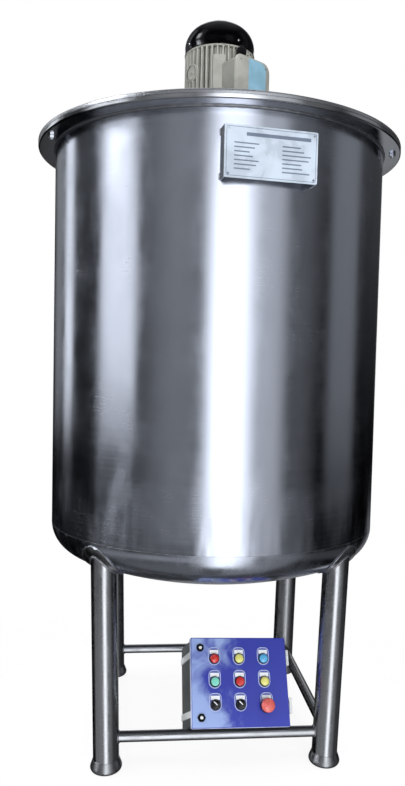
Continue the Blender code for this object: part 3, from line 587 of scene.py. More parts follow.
class Finish:
    """Builds the nodes of one material."""

    def __init__(self, name, slot, **settings):
        self.material = bpy.data.materials.new(name)
        self.material["slot"] = slot
        self.material.use_nodes = True
        self.tree = self.material.node_tree
        self.shader = self.tree.nodes["Principled BSDF"]
        self.set(self.shader, settings)
        self.place = self.node("ShaderNodeTexCoord").outputs["Object"]

    def set(self, node, values):
        for key, value in values.items():
            plug(self.tree, node.inputs[key], value)

    def node(self, kind, values=None, **options):
        made = self.tree.nodes.new(kind)
        for key, value in options.items():
            setattr(made, key, value)
        self.set(made, values or {})
        return made

    def noise(self, stretch, detail=3.0, roughness=0.5, distortion=0.0):
        """Noise that runs from 0 to 1, with a count of features per metre along each axis."""
        spread = self.node("ShaderNodeMapping", {"Vector": self.place, "Scale": stretch})
        values = {
            "Vector": spread.outputs["Vector"], "Scale": 1.0, "Detail": detail,
            "Roughness": roughness, "Distortion": distortion,
        }
        return self.node("ShaderNodeTexNoise", values).outputs["Fac"]

    def spread(self, value, low, high, to_low=0.0, to_high=1.0, smooth=False):
        kind = "SMOOTHSTEP" if smooth else "LINEAR"
        values = {"Value": value, "From Min": low, "From Max": high, "To Min": to_low, "To Max": to_high}
        return self.node("ShaderNodeMapRange", values, interpolation_type=kind).outputs["Result"]

    def math(self, operation, first, second=0.0):
        made = self.node("ShaderNodeMath", operation=operation)
        for socket, value in zip(made.inputs, (first, second)):
            plug(self.tree, socket, value)
        return made.outputs["Value"]

    def times(self, first, second):
        return self.math("MULTIPLY", first, second)

    def plus(self, first, second):
        return self.math("ADD", first, second)

    def minus(self, first, second):
        return self.math("SUBTRACT", first, second)

    def axes(self, vector):
        """The three parts of a vector."""
        return self.node("ShaderNodeSeparateXYZ", {"Vector": vector}).outputs

    def blend(self, share, first, second):
        """Mixes two colours, each a triple or a node's output."""
        ends = [end if isinstance(end, bpy.types.NodeSocket) else (*end, 1.0) for end in (first, second)]
        made = self.node("ShaderNodeMix", data_type="RGBA")
        for index, value in zip(MIX_INPUTS, (share, *ends)):
            plug(self.tree, made.inputs[index], value)
        return made.outputs[MIX_RESULT]

    def bump(self, height, distance, strength=1.0, under=None):
        values = {"Height": height, "Distance": distance, "Strength": strength}
        if under is not None:
            values["Normal"] = under
        return self.node("ShaderNodeBump", values).outputs["Normal"]

    def orange_peel(self, strength, features=320.0, depth=0.0002):
        return self.bump(self.noise((features,) * 3, detail=2.0), depth, strength)

    def facing(self):
        """Direction that the surface faces, in the world."""
        return self.axes(self.node("ShaderNodeNewGeometry").outputs["Normal"])


def shade(colour, factor):
    """The same colour, darker or lighter."""
    return tuple(min(1.0, channel * factor) for channel in colour)


def steel(name, slot, grain, roughness=(0.16, 0.26), anisotropy=0.5, waves=0.0, clouds=5.0,
          colour=STEEL_COLOUR, wobble=0.0, painted_shade=False):
    """Ground stainless steel: streaks along the grain, cloudy handling marks and slight dents.

    The wobble is a depth of ripples that fade out above the dished bottom. Painted shade darkens the colour
    of what faces up or down.
    """
    low, high = roughness
    made = Finish(name, slot, Metallic=1.0, Anisotropic=anisotropy)
    made.set(made.shader, {"Anisotropic Rotation": GRAIN_TURN})
    tangent = made.node("ShaderNodeTangent", direction_type="RADIAL", axis="Z")
    streaks = made.noise(grain, detail=5.0, roughness=0.65)
    marks = made.noise((clouds,) * 3, detail=5.0, roughness=0.6, distortion=0.6)
    smears = made.noise((clouds * 4, clouds * 4, clouds), detail=4.0, roughness=0.55)
    handled = made.plus(made.times(marks, 0.65), made.times(smears, 0.35))
    cloudy = made.spread(handled, 0.36, 0.64, smooth=True)
    tone = made.plus(made.times(cloudy, 0.6), made.times(streaks, 0.4))
    base = made.blend(tone, shade(colour, 0.90), shade(colour, 1.06))
    # Painted shade: the colour turns near black on what faces up and, less, on what faces down.
    if painted_shade:
        _, _, rise = made.facing()
        above = made.spread(rise, 0.58, 0.80, 0.0, 0.74, smooth=True)
        below = made.spread(rise, 0.10, -0.25, 0.0, 0.40, smooth=True)
        base = made.blend(made.math("MAXIMUM", above, below), base, (0.02, 0.02, 0.022))
    made.set(made.shader, {
        "Base Color": base,
        "Roughness": made.plus(
            made.spread(cloudy, 0.0, 1.0, low, high), made.spread(streaks, 0.3, 0.7, -0.02, 0.03)
        ),
        "Tangent": tangent.outputs["Tangent"],
    })
    normal = made.bump(streaks, 0.00004, 0.35)
    if waves:
        dents = made.noise((2.2, 2.2, 1.5), detail=1.5, roughness=0.4)
        normal = made.bump(dents, waves, 1.0, normal)
    if wobble:
        _, _, height = made.axes(made.place)
        beneath = made.spread(height, KNUCKLE_TOP_Z - 0.02, KNUCKLE_TOP_Z + 0.20, 1.0, 0.0, smooth=True)
        ripples = made.times(made.noise((11.0, 11.0, 3.0), detail=2.0), beneath)
        normal = made.bump(ripples, wobble, 1.0, normal)
    made.set(made.shader, {"Normal": normal})
    return made.material


def paint(name, slot, colour, roughness=0.4, coat=0.0, shine=0.5, peel=320.0, peel_depth=0.0002):
    """Sprayed paint with orange peel, faint blotches and dust."""
    made = Finish(name, slot, Metallic=0.0)
    made.set(made.shader, {"Coat Weight": coat, "Coat Roughness": 0.08, "Specular IOR Level": shine})
    blotches = made.noise((14.0,) * 3, detail=4.0, distortion=0.5)
    tone = made.spread(blotches, 0.35, 0.65, smooth=True)
    made.set(made.shader, {
        "Base Color": made.blend(tone, shade(colour, 0.86), shade(colour, 1.08)),
        "Roughness": made.spread(blotches, 0.3, 0.7, roughness - 0.06, roughness + 0.08),
        "Normal": made.orange_peel(0.4, peel, peel_depth),
    })
    return made.material


def finned_paint():
    """The motor's cream paint, with broken dark lines of painted shade along the roots of the fins."""
    made = Finish("motor_fin_paint", "motor_paint", Metallic=0.0)
    made.set(made.shader, {"Specular IOR Level": 0.15})
    x, y, _ = made.axes(made.place)
    turns = made.times(made.math("ARCTAN2", y, x), FIN_COUNT / (2 * math.pi))
    share = made.minus(made.math("FRACT", made.plus(turns, 0.5)), 0.5)
    beside = made.math("ABSOLUTE", made.minus(share, FIN_ROOT_SHARE + 0.08))
    line = made.spread(beside, 0.05, 0.12, 1.0, 0.0, smooth=True)
    flat = made.node("ShaderNodeCombineXYZ", {"X": x, "Y": y}).outputs["Vector"]
    radius = made.node("ShaderNodeVectorMath", {0: flat}, operation="LENGTH").outputs["Value"]
    low = made.spread(radius, FIN_ROOT_RADIUS + 0.001, FIN_ROOT_RADIUS + 0.008, 1.0, 0.0)
    broken = made.spread(made.noise((22.0, 22.0, 5.0), detail=2.0), 0.30, 0.52, smooth=True)
    # Painted shade: dark broken lines along one side of each fin's root.
    root_shade = made.times(made.times(line, low), made.spread(broken, 0.0, 1.0, 0.45, 1.0))
    blotches = made.spread(made.noise((14.0,) * 3, detail=4.0, distortion=0.5), 0.35, 0.65, smooth=True)
    clean = made.blend(blotches, shade(MOTOR_COLOUR, 0.90), shade(MOTOR_COLOUR, 1.08))
    made.set(made.shader, {
        "Base Color": made.blend(root_shade, clean, (0.03, 0.03, 0.028)),
        "Roughness": made.spread(blotches, 0.0, 1.0, 0.38, 0.52),
        "Normal": made.orange_peel(0.4),
    })
    return made.material


def door_paint_with_painted_reflection():
    """Deep blue paint with a cloudy painted reflection, pale and strongest at the left corners."""
    made = Finish("door_blue_paint", "door_paint", Metallic=0.0)
    made.set(made.shader, {"Coat Weight": 0.20, "Coat Roughness": 0.10})
    x, y, _ = made.axes(made.place)
    clouds = made.noise((7.0, 7.0, 7.0), detail=3.0, roughness=0.5, distortion=0.9)
    wisps = made.noise((16.0, 16.0, 30.0), detail=4.0, roughness=0.6, distortion=1.2)
    outward = made.math("ABSOLUTE", made.minus(y, DOOR_HEIGHT * 0.54))
    outward = made.times(outward, -1.8)
    slope = made.plus(made.times(x, 2.7), outward)
    lean = made.spread(slope, -0.60, 0.06, 0.66, -0.44)
    reflection_pattern = made.plus(lean, made.times(clouds, 2.0))
    reflection_pattern = made.plus(reflection_pattern, made.times(wisps, 0.9))
    # Painted reflection: the blue turns pale where this pattern is high, most at the left corners.
    painted_reflection = made.spread(reflection_pattern, 1.30, 2.05, 0.0, 1.0, smooth=True)
    made.set(made.shader, {
        "Base Color": made.blend(painted_reflection, DOOR_COLOUR, DOOR_PAINTED_REFLECTION),
        "Roughness": made.spread(painted_reflection, 0.0, 1.0, 0.24, 0.40),
        "Normal": made.orange_peel(0.25),
    })
    return made.material


def edge_paint_with_painted_highlight():
    """The door's paint round its folded edges, with a painted highlight on the left and along the bottom."""
    made = Finish("door_edge_paint", "door_paint", Metallic=0.0)
    x, _, z = made.facing()
    left = made.spread(x, -0.25, -0.80, 0.0, 1.0, smooth=True)
    down = made.spread(z, -0.10, -0.60, 0.0, 1.0, smooth=True)
    highlight_breakup = made.spread(made.noise((30.0,) * 3, detail=4.0), 0.30, 0.55, 0.35, 1.0)
    # Painted highlight on edges facing left and on edges facing down, broken up by noise.
    painted_highlight = made.times(made.math("MAXIMUM", left, down), highlight_breakup)
    made.set(made.shader, {
        "Base Color": made.blend(painted_highlight, DOOR_COLOUR, (0.66, 0.72, 0.90)),
        "Roughness": made.spread(painted_highlight, 0.0, 1.0, 0.26, 0.42),
        "Normal": made.orange_peel(0.25),
    })
    return made.material


def plastic(name, slot, colour, roughness=0.3, coat=0.0, shine=0.5):
    """Moulded plastic with a fine grain and slight wear."""
    made = Finish(name, slot, Metallic=0.0)
    made.set(made.shader, {"Coat Weight": coat, "Coat Roughness": 0.05, "Specular IOR Level": shine})
    grain = made.noise((1800.0,) * 3, detail=2.0)
    wear = made.noise((60.0,) * 3, detail=5.0, distortion=0.8)
    made.set(made.shader, {
        "Base Color": made.blend(made.spread(wear, 0.35, 0.7), shade(colour, 0.9), shade(colour, 1.12)),
        "Roughness": made.spread(wear, 0.3, 0.7, roughness - 0.06, roughness + 0.08),
        "Normal": made.bump(grain, 0.00003, 0.3),
    })
    return made.material


ALONG_TUBE = (260.0, 260.0, 3.0)


def tube_finish(name, roughness, factor, anisotropy=0.0, painted_shade=False):
    """Steel of the legs and braces, ground along the tube; a darker tone is painted shade, a lighter one
    painted light.
    """
    return steel(
        name, "brushed_steel", ALONG_TUBE, roughness, anisotropy, clouds=18.0,
        colour=shade(TUBE_COLOUR, factor), painted_shade=painted_shade
    )


SHELL_STEEL = steel(
    "shell_steel", "brushed_steel", (1.2, 1.2, 420.0), waves=0.0012,
    colour=SHELL_COLOUR, wobble=0.004
)
# Painted shade: the dished bottom's steel is a darker copy of the shell's.
HEAD_STEEL = steel(
    "head_steel", "brushed_steel", (6.0, 6.0, 260.0), (0.18, 0.30), 0.3, waves=0.009, clouds=9.0,
    colour=shade(SHELL_COLOUR, 0.84)
)
RIM_STEEL = steel("rim_steel", "polished_steel", (4.0, 4.0, 500.0), (0.12, 0.22), 0.4, clouds=12.0)
LID_STEEL = steel(
    "lid_steel", "polished_steel", (30.0, 420.0, 30.0), (0.24, 0.29), 0.0, waves=0.002, clouds=2.2
)
# Copies of the tube steel: the rear legs darker and the side braces far darker, as painted shade; the front
# and rear braces lighter, as painted light, with painted shade on their tops and undersides.
TUBE_STEEL = tube_finish("tube_steel", (0.22, 0.34), 1.0, 0.3)
REAR_SHADE_STEEL = tube_finish("rear_tube_shade_steel", (0.24, 0.36), 0.75)
SHADED_STEEL = tube_finish("shaded_steel", (0.20, 0.30), 0.28)
BRACE_STEEL = tube_finish("brace_steel", (0.30, 0.42), 1.15, painted_shade=True)
FOOT_STEEL = steel(
    "foot_steel", "brushed_steel", ALONG_TUBE, (0.26, 0.38), 0.0, clouds=30.0, colour=FOOT_COLOUR
)
WELD_STEEL = steel(
    "weld_steel", "brushed_steel", (300.0, 300.0, 300.0), (0.36, 0.52), 0.0, clouds=60.0,
    colour=shade(STEEL_COLOUR, 0.62)
)
PLATE_STEEL = steel("plate_steel", "brushed_steel", (300.0, 20.0, 20.0), (0.2, 0.32), 0.0, clouds=14.0)
CASE_PAINT = paint("case_grey_paint", "case_steel", (0.118, 0.125, 0.125), 0.42)
ZINC_COAT = paint("strap_zinc", "brushed_steel", (0.80, 0.82, 0.82), 0.45)
MOTOR_PAINT = paint("motor_cream_paint", "motor_paint", MOTOR_COLOUR, 0.42, shine=0.15)
# Painted shade: the terminal box takes a darker copy of the motor's cream.
BOX_SHADE_PAINT = paint("terminal_box_shade_paint", "motor_paint", shade(MOTOR_COLOUR, 0.70), 0.45, shine=0.15)
FIN_PAINT = finned_paint()
COVER_PAINT = plastic("cover_black_plastic", "cover_paint", (0.0008, 0.0008, 0.0014), 0.12, shine=0.12)
CAST_PAINT = paint("cast_grey_paint", "cast_paint", (0.18, 0.185, 0.19), 0.5, peel=180.0, peel_depth=0.0006)
PLATE_FINISH = paint("name_plate_white", "plate_finish", (0.47, 0.53, 0.60), 0.28, coat=0.2)
DOOR_PAINT = door_paint_with_painted_reflection()
DOOR_EDGE = edge_paint_with_painted_highlight()
BOLT_STEEL = steel("bolt_steel", "polished_steel", (200.0, 200.0, 200.0), (0.18, 0.30), 0.0, clouds=80.0)
BLACK_PLASTIC = plastic("black_plastic", "black_plastic", (0.003, 0.003, 0.004), 0.30, shine=0.22)
KNOB_PLASTIC = plastic("knob_plastic", "black_plastic", (0.006, 0.006, 0.007), 0.14, coat=1.0, shine=0.7)
RUBBER = plastic("black_rubber", "black_plastic", (0.022, 0.022, 0.023), 0.6)
TAG_WHITE = plastic("tag_white", "plate_finish", (0.94, 0.95, 0.99), 0.4)
LEGEND_SHEEN = plastic("legend_blue_grey", "plate_finish", (0.13, 0.15, 0.45), 0.22, coat=0.6)
LEGEND_RIM = plastic("legend_rim", "plate_finish", (0.52, 0.60, 0.82), 0.25, coat=0.4)
PLATE_LINES = paint("name_plate_lines", "plate_finish", (0.13, 0.16, 0.22), 0.35)
MOTOR_LABEL = paint("motor_label_blue", "plate_finish", (0.27, 0.48, 0.60), 0.35)
LENS_COLOURS = {
    "red": (0.68, 0.025, 0.02), "green": (0.22, 0.72, 0.56),
    "yellow": (0.80, 0.76, 0.20), "blue": (0.10, 0.46, 0.80),
}
LENS = {
    name: plastic(f"{name}_lens", f"{name}_plastic", colour, 0.18, coat=1.0, shine=1.0)
    for name, colour in LENS_COLOURS.items()
}
STOP_PLASTIC = plastic("stop_head", "red_plastic", (0.70, 0.12, 0.10), 0.26, coat=0.6, shine=0.8)


# Geometry of the vessel's outer side

KNUCKLE_CENTRE_R = SHELL_RADIUS - KNUCKLE_RADIUS
CROWN_CENTRE_Z = KNUCKLE_TOP_Z + math.sqrt((CROWN_RADIUS - KNUCKLE_RADIUS) ** 2 - KNUCKLE_CENTRE_R ** 2)
KNUCKLE_END = math.atan2(KNUCKLE_TOP_Z - CROWN_CENTRE_Z, KNUCKLE_CENTRE_R)
KNUCKLE_TRAVEL = -KNUCKLE_END * KNUCKLE_RADIUS


def dished_outline(offset):
    """Outer side of the dished bottom, moved out by offset, from the shell down to the axis."""
    centre = (KNUCKLE_CENTRE_R, KNUCKLE_TOP_Z)
    knuckle = arc(centre, KNUCKLE_RADIUS + offset, 0.0, KNUCKLE_END, KNUCKLE_STEPS)
    crown = arc((0.0, CROWN_CENTRE_Z), CROWN_RADIUS + offset, KNUCKLE_END, -QUARTER, CROWN_STEPS)
    return knuckle + crown[1:-1] + [(0.0, CROWN_CENTRE_Z - CROWN_RADIUS - offset)]


def head_clearance(point):
    """Distance of a point from the vessel's outer side, negative inside it."""
    radius = math.hypot(point[0], point[1])
    if point[2] >= KNUCKLE_TOP_Z:
        return radius - SHELL_RADIUS
    across = radius - KNUCKLE_CENTRE_R
    down = point[2] - KNUCKLE_TOP_Z
    if math.atan2(down, across) > KNUCKLE_END:
        return math.hypot(across, down) - KNUCKLE_RADIUS
    return math.hypot(radius, point[2] - CROWN_CENTRE_Z) - CROWN_RADIUS


def head_point(travel, azimuth, offset):
    """Point on the vessel, by the way down its outer side from the knuckle's top, moved out by offset."""
    if travel < 0.0:
        radius, height = SHELL_RADIUS + offset, KNUCKLE_TOP_Z - travel
    elif travel < KNUCKLE_TRAVEL:
        angle = -travel / KNUCKLE_RADIUS
        radius = KNUCKLE_CENTRE_R + (KNUCKLE_RADIUS + offset) * math.cos(angle)
        height = KNUCKLE_TOP_Z + (KNUCKLE_RADIUS + offset) * math.sin(angle)
    else:
        angle = KNUCKLE_END - (travel - KNUCKLE_TRAVEL) / CROWN_RADIUS
        radius = (CROWN_RADIUS + offset) * math.cos(angle)
        height = CROWN_CENTRE_Z + (CROWN_RADIUS + offset) * math.sin(angle)
    return Vector(polar(radius, azimuth, height))


def solve(low, high, value):
    """Where value(x) changes from positive to negative, between low and high."""
    for _ in range(40):
        middle = (low + high) / 2
        if value(middle) > 0:
            low = middle
        else:
            high = middle
    return (low + high) / 2


def bead(path, radius, closed=True, ripple=0.16, sides=10):
    """A weld run along a path of points, with the small ripples of each drop."""
    count = len(path)
    rings = []
    travelled = 0.0
    for i, point in enumerate(path):
        point = Vector(point)
        before = Vector(path[i - 1]) if closed or i else point
        after = Vector(path[(i + 1) % count]) if closed or i < count - 1 else point
        forward = (after - before).normalized()
        side = side - forward * side.dot(forward) if rings else forward.orthogonal()
        side.normalize()
        other = forward.cross(side)
        travelled += (after - point).length
        wave = abs(math.sin(math.pi * travelled / DROP_PITCH))
        size = radius * (1 - ripple + ripple * wave + 0.06 * math.sin(travelled * 210.0))
        rings.append([point + (side * math.cos(a) + other * math.sin(a)) * size for a in turns(sides)])
    return loft(rings, loop=closed, capped=not closed)


def build_vessel():
    """Shell, dished bottom with its seam, flange, lid and the weld under the flange."""
    rows = [KNUCKLE_TOP_Z + GAP + (LID_BOTTOM_Z - KNUCKLE_TOP_Z - GAP) * i / 24 for i in range(25)]
    wall = [(SHELL_RADIUS, z) for z in rows] + [(SHELL_RADIUS - SHEET, z) for z in reversed(rows)]
    piece("shell_skin", lathe(wall, VESSEL_SIDES, loop=True), SHELL_STEEL, stands_for=["shell"])
    head = list(reversed(dished_outline(0.0))) + dished_outline(-SHEET)
    piece("bottom_head_skin", lathe(head, VESSEL_SIDES), HEAD_STEEL, stands_for=["bottom_head"])
    joint = circle(SHELL_RADIUS - SEAM_SINK, KNUCKLE_TOP_Z + GAP / 2, 720)
    piece("head_seam", bead(joint, SEAM_RADIUS, ripple=0.0), WELD_STEEL)
    edge = RIM_RADIUS - RIM_ROUNDING
    lower = arc((edge, FLANGE_BOTTOM_Z + RIM_ROUNDING), RIM_ROUNDING, -QUARTER, 0.0, 8)
    ring = [(SHELL_RADIUS + GAP, FLANGE_BOTTOM_Z)] + lower
    ring += [(RIM_RADIUS, LID_BOTTOM_Z - RIM_EASE), (RIM_RADIUS - RIM_EASE, LID_BOTTOM_Z)]
    ring += [(SHELL_RADIUS + GAP, LID_BOTTOM_Z)]
    piece("top_flange_ring", lathe(ring, VESSEL_SIDES, loop=True), RIM_STEEL, stands_for=["top_flange"])
    low = LID_BOTTOM_Z + GAP
    under = LID_TOP_Z - SHEET
    upper = arc((edge, LID_TOP_Z - RIM_ROUNDING), RIM_ROUNDING, 0.0, QUARTER, 8)
    lid = [(0.0, under), (LID_RING_INNER_RADIUS, under), (LID_RING_INNER_RADIUS, low)]
    lid += [(RIM_RADIUS - RIM_EASE, low), (RIM_RADIUS, low + RIM_EASE)] + upper
    lid += [(edge * (1 - i / 12), LID_TOP_Z) for i in range(1, 12)] + [(0.0, LID_TOP_Z)]
    piece("lid_plate", lathe(lid, VESSEL_SIDES), LID_STEEL, stands_for=["lid"])
    corner = circle(SHELL_RADIUS + 0.0022, FLANGE_BOTTOM_Z - 0.0012, 1400)
    piece("flange_weld", bead(corner, FLANGE_WELD), WELD_STEEL)


def tube(skins, angles):
    """A hollow tube along Z; each skin has its radius and, for each angle, its lower and upper end."""
    rings = []
    for (radius, lows, highs), order in zip(skins, (range(TUBE_STEPS + 1), range(TUBE_STEPS, -1, -1))):
        for i in order:
            rings.append([
                polar(radius, angle, low + (high - low) * i / TUBE_STEPS)
                for angle, low, high in zip(angles, lows, highs)
            ])
    return loft(rings, loop=True)


def leg_half_spacing(height):
    """Distance of the leg's axis from the tank's middle planes, at a height."""
    lean = (LEG_HALF_SPACING_TOP - LEG_HALF_SPACING_FLOOR) / LEG_TOP_Z
    return LEG_HALF_SPACING_FLOOR + lean * height


def leg_place(side_x, side_y):
    """The leg's own frame: origin on the floor, +Z up the leg."""
    floor = Vector((side_x, side_y, 0.0)) * LEG_HALF_SPACING_FLOOR
    top = Vector((side_x, side_y, 0.0)) * LEG_HALF_SPACING_TOP + Vector((0, 0, LEG_TOP_Z))
    turn = Vector((0, 0, 1)).rotation_difference((top - floor).normalized())
    return shift(*floor) @ turn.to_matrix().to_4x4()


def leg_top(place, radius, angle, clearance):
    """Height in the leg's frame at which a line up the tube meets the vessel."""
    def distance(height):
        return head_clearance(place @ Vector(polar(radius, angle, height))) - clearance

    return solve(0.4, 0.72, distance)


def build_leg(corner, side_x, side_y):
    """Leg tube, foot, pad plate and their welds, in one corner."""
    place = leg_place(side_x, side_y)
    clearance = PAD_THICKNESS + 2 * GAP
    angles = turns(LEG_SIDES)
    lows = [FOOT_BASE + GAP] * LEG_SIDES

    def tops(radius, directions):
        return [leg_top(place, radius, angle, clearance) for angle in directions]

    skins = [(radius, lows, tops(radius, angles)) for radius in (LEG_RADIUS, LEG_RADIUS - LEG_WALL)]
    # The rear legs take the darker tube steel, painted shade.
    finish = REAR_SHADE_STEEL if corner.startswith("rear") else TUBE_STEEL
    piece(f"leg_tube_{corner}", tube(skins, angles), finish, place=place, stands_for=[f"leg_{corner}"])
    build_foot(corner, place)
    weld = Shape()
    around_top = turns(220)
    heights = tops(LEG_RADIUS, around_top)
    seam = [place @ Vector(polar(LEG_RADIUS, angle, z)) for angle, z in zip(around_top, heights)]
    weld.add(bead(seam, LEG_WELD))
    weld.add(bead(pad_edge(side_x, side_y, PAD_THICKNESS * 0.5, 300), PAD_WELD))
    piece(f"leg_welds_{corner}", weld, WELD_STEEL)
    build_pad(corner, side_x, side_y)


def build_foot(corner, place):
    """Flared foot, cut flat where it stands on the floor."""
    socket = LEG_RADIUS + GAP
    sole = FOOT_RADIUS - FOOT_ROUNDING
    low = [(0.0, -FOOT_BASE / 2), (sole, -FOOT_BASE / 2)]
    edge = arc((sole, FOOT_ROUNDING), FOOT_ROUNDING, -math.radians(80), math.radians(22), 14)
    start = Vector(edge[-1])
    end = Vector((socket + 0.0004, FOOT_COLLAR))
    bend = Vector((socket + 0.0030, FOOT_COLLAR * 0.80))
    flare = []
    for t in (i / 8 for i in range(1, 9)):
        flare.append(tuple(start * (1 - t) ** 2 + bend * 2 * t * (1 - t) + end * t**2))
    top = [(socket, FOOT_COLLAR), (socket, FOOT_BASE), (0.0, FOOT_BASE)]
    points, faces = lathe(low + edge + flare + top, LEG_SIDES)
    grounded = []
    for point in points:
        world = place @ Vector(point)
        world.z = max(world.z, 0.0)
        grounded.append(world)
    piece(f"foot_flare_{corner}", (grounded, faces), FOOT_STEEL, stands_for=[f"foot_{corner}"], sharp=50.0)


def pad_reach(side_x, side_y, bearing, offset):
    """How far the pad's edge is from its middle, over the vessel's surface, in one direction."""
    spacing = leg_half_spacing(PAD_CENTRE_Z)
    centre = Vector((side_x * spacing, side_y * spacing, PAD_CENTRE_Z))
    middle = pad_middle(side_x, side_y)

    def inside(reach):
        return PAD_RADIUS - (pad_point(middle, bearing, reach, offset) - centre).length

    return solve(0.0, 0.14, inside)


def pad_middle(side_x, side_y):
    """Azimuth of the leg, and the way down the vessel's side to the height of the pad's centre."""
    spacing = leg_half_spacing(PAD_CENTRE_Z)
    across = spacing * math.sqrt(2) - KNUCKLE_CENTRE_R
    travel = math.acos(max(-1.0, min(1.0, across / KNUCKLE_RADIUS))) * KNUCKLE_RADIUS
    return math.atan2(side_y, side_x), travel


def pad_point(middle, bearing, reach, offset):
    """Point of a pad, by bearing and reach from its middle over the vessel's surface."""
    azimuth, travel = middle
    down = travel + reach * math.cos(bearing)
    near = head_point(down, 0.0, 0.0).x
    return head_point(down, azimuth + reach * math.sin(bearing) / near, offset)


def pad_edge(side_x, side_y, offset, count):
    """Points round the edge of a pad."""
    middle = pad_middle(side_x, side_y)
    return [pad_point(middle, b, pad_reach(side_x, side_y, b, offset), offset) for b in turns(count)]


def build_pad(corner, side_x, side_y):
    """Plate between the leg and the dished bottom, bent to its surface."""
    middle = pad_middle(side_x, side_y)
    top = GAP + PAD_THICKNESS
    bearings = turns(96)
    reaches = [pad_reach(side_x, side_y, b, top) for b in bearings]

    def ring(share, offset, trim=0.0):
        return [pad_point(middle, b, r * share - trim, offset) for b, r in zip(bearings, reaches)]

    rings = [ring(share, top) for share in (0.02, 0.2, 0.4, 0.6, 0.8, 0.95)]
    rings += [ring(1.0, top, PAD_EASE), ring(1.0, top - PAD_EASE)]
    rings += [ring(share, GAP) for share in (1.0, 0.6, 0.02)]
    piece(f"leg_pad_plate_{corner}", loft(rings, capped=True), TUBE_STEEL, stands_for=[f"leg_pad_{corner}"])


def brace_end(place, angle, side):
    """Where a line along a brace meets the outer side of a leg, in the brace's own frame."""
    half = leg_half_spacing(BRACE_Z)

    def free(height):
        point = place @ Vector(polar(BRACE_RADIUS, angle, side * height))
        spacing = leg_half_spacing(point.z)
        corner = Vector((math.copysign(spacing, point.x), math.copysign(spacing, point.y)))
        return (point.xy - corner).length - LEG_RADIUS - GAP

    return side * solve(half - 2 * LEG_RADIUS, half - LEG_RADIUS * 0.3, free)


def build_braces():
    """Four tubes between the legs, cut to fit them, and their welds."""
    half = leg_half_spacing(BRACE_Z)
    places = {
        "front": shift(0, -half, BRACE_Z) @ spin(90.0, "Y"),
        "rear": shift(0, half, BRACE_Z) @ spin(90.0, "Y"),
        "left": shift(-half, 0, BRACE_Z) @ spin(90.0, "X"),
        "right": shift(half, 0, BRACE_Z) @ spin(90.0, "X"),
    }
    angles = turns(BRACE_SIDES)
    for name, place in places.items():
        ends = [[brace_end(place, angle, side) for angle in angles] for side in (-1, 1)]
        skins = [(radius, *ends) for radius in (BRACE_RADIUS, BRACE_RADIUS - BRACE_WALL)]
        # Side braces take the darkest tube steel, painted shade; the front and rear braces the lighter one,
        # painted light.
        finish = SHADED_STEEL if name in ("left", "right") else BRACE_STEEL
        piece(f"brace_tube_{name}", tube(skins, angles), finish, place=place, stands_for=[f"brace_{name}"])
        welds = Shape()
        for side in (-1, 1):
            path = [polar(BRACE_RADIUS, angle, brace_end(place, angle, side)) for angle in turns(120)]
            welds.add(bead([place @ Vector(point) for point in path], BRACE_WELD))
        piece(f"brace_welds_{name}", welds, WELD_STEEL)


def around(azimuth, radius, height, centre_x=0.0):
    """Place on a circle round an upright axis, with local Z still up."""
    return shift(centre_x, 0, height) @ spin(azimuth) @ shift(0, -radius)


def upright(azimuth, distance, height, centre_x=0.0):
    """Place on a circle round an upright axis: local X to the right, Y up and Z straight out."""
    return around(azimuth, distance, height, centre_x) @ spin(90.0, "X")


MOTOR_AXIS = shift(MOTOR_X, 0.0)


def build_rim_bolts():
    """Bolts through the flange and the lid, with washers and nuts."""
    bolts = Shape()
    for azimuth in RIM_BOLT_AZIMUTHS:
        place = around(azimuth, RIM_BOLT_RADIUS, 0.0)
        seat = LID_TOP_Z + RIM_WASHER
        bolts.add(hexagon(RIM_BOLT_FLATS, seat, LID_TOP_Z + RIM_BOLT_HEAD), place)
        bolts.add(cylinder(RIM_WASHER_RADIUS, LID_TOP_Z, seat), place)
        bolts.add(hexagon(RIM_BOLT_FLATS, FLANGE_BOTTOM_Z - RIM_NUT, FLANGE_BOTTOM_Z, 15.0), place)
        end = FLANGE_BOTTOM_Z - THREAD_LENGTH
        thread = [(0.0, end), (THREAD_RADIUS - 0.0013, end), (THREAD_RADIUS, end + 0.0012)]
        thread += [(THREAD_RADIUS, FLANGE_BOTTOM_Z - RIM_NUT + 0.001)]
        bolts.add(lathe(thread, 24), place)
    piece("rim_bolts", bolts, BOLT_STEEL)


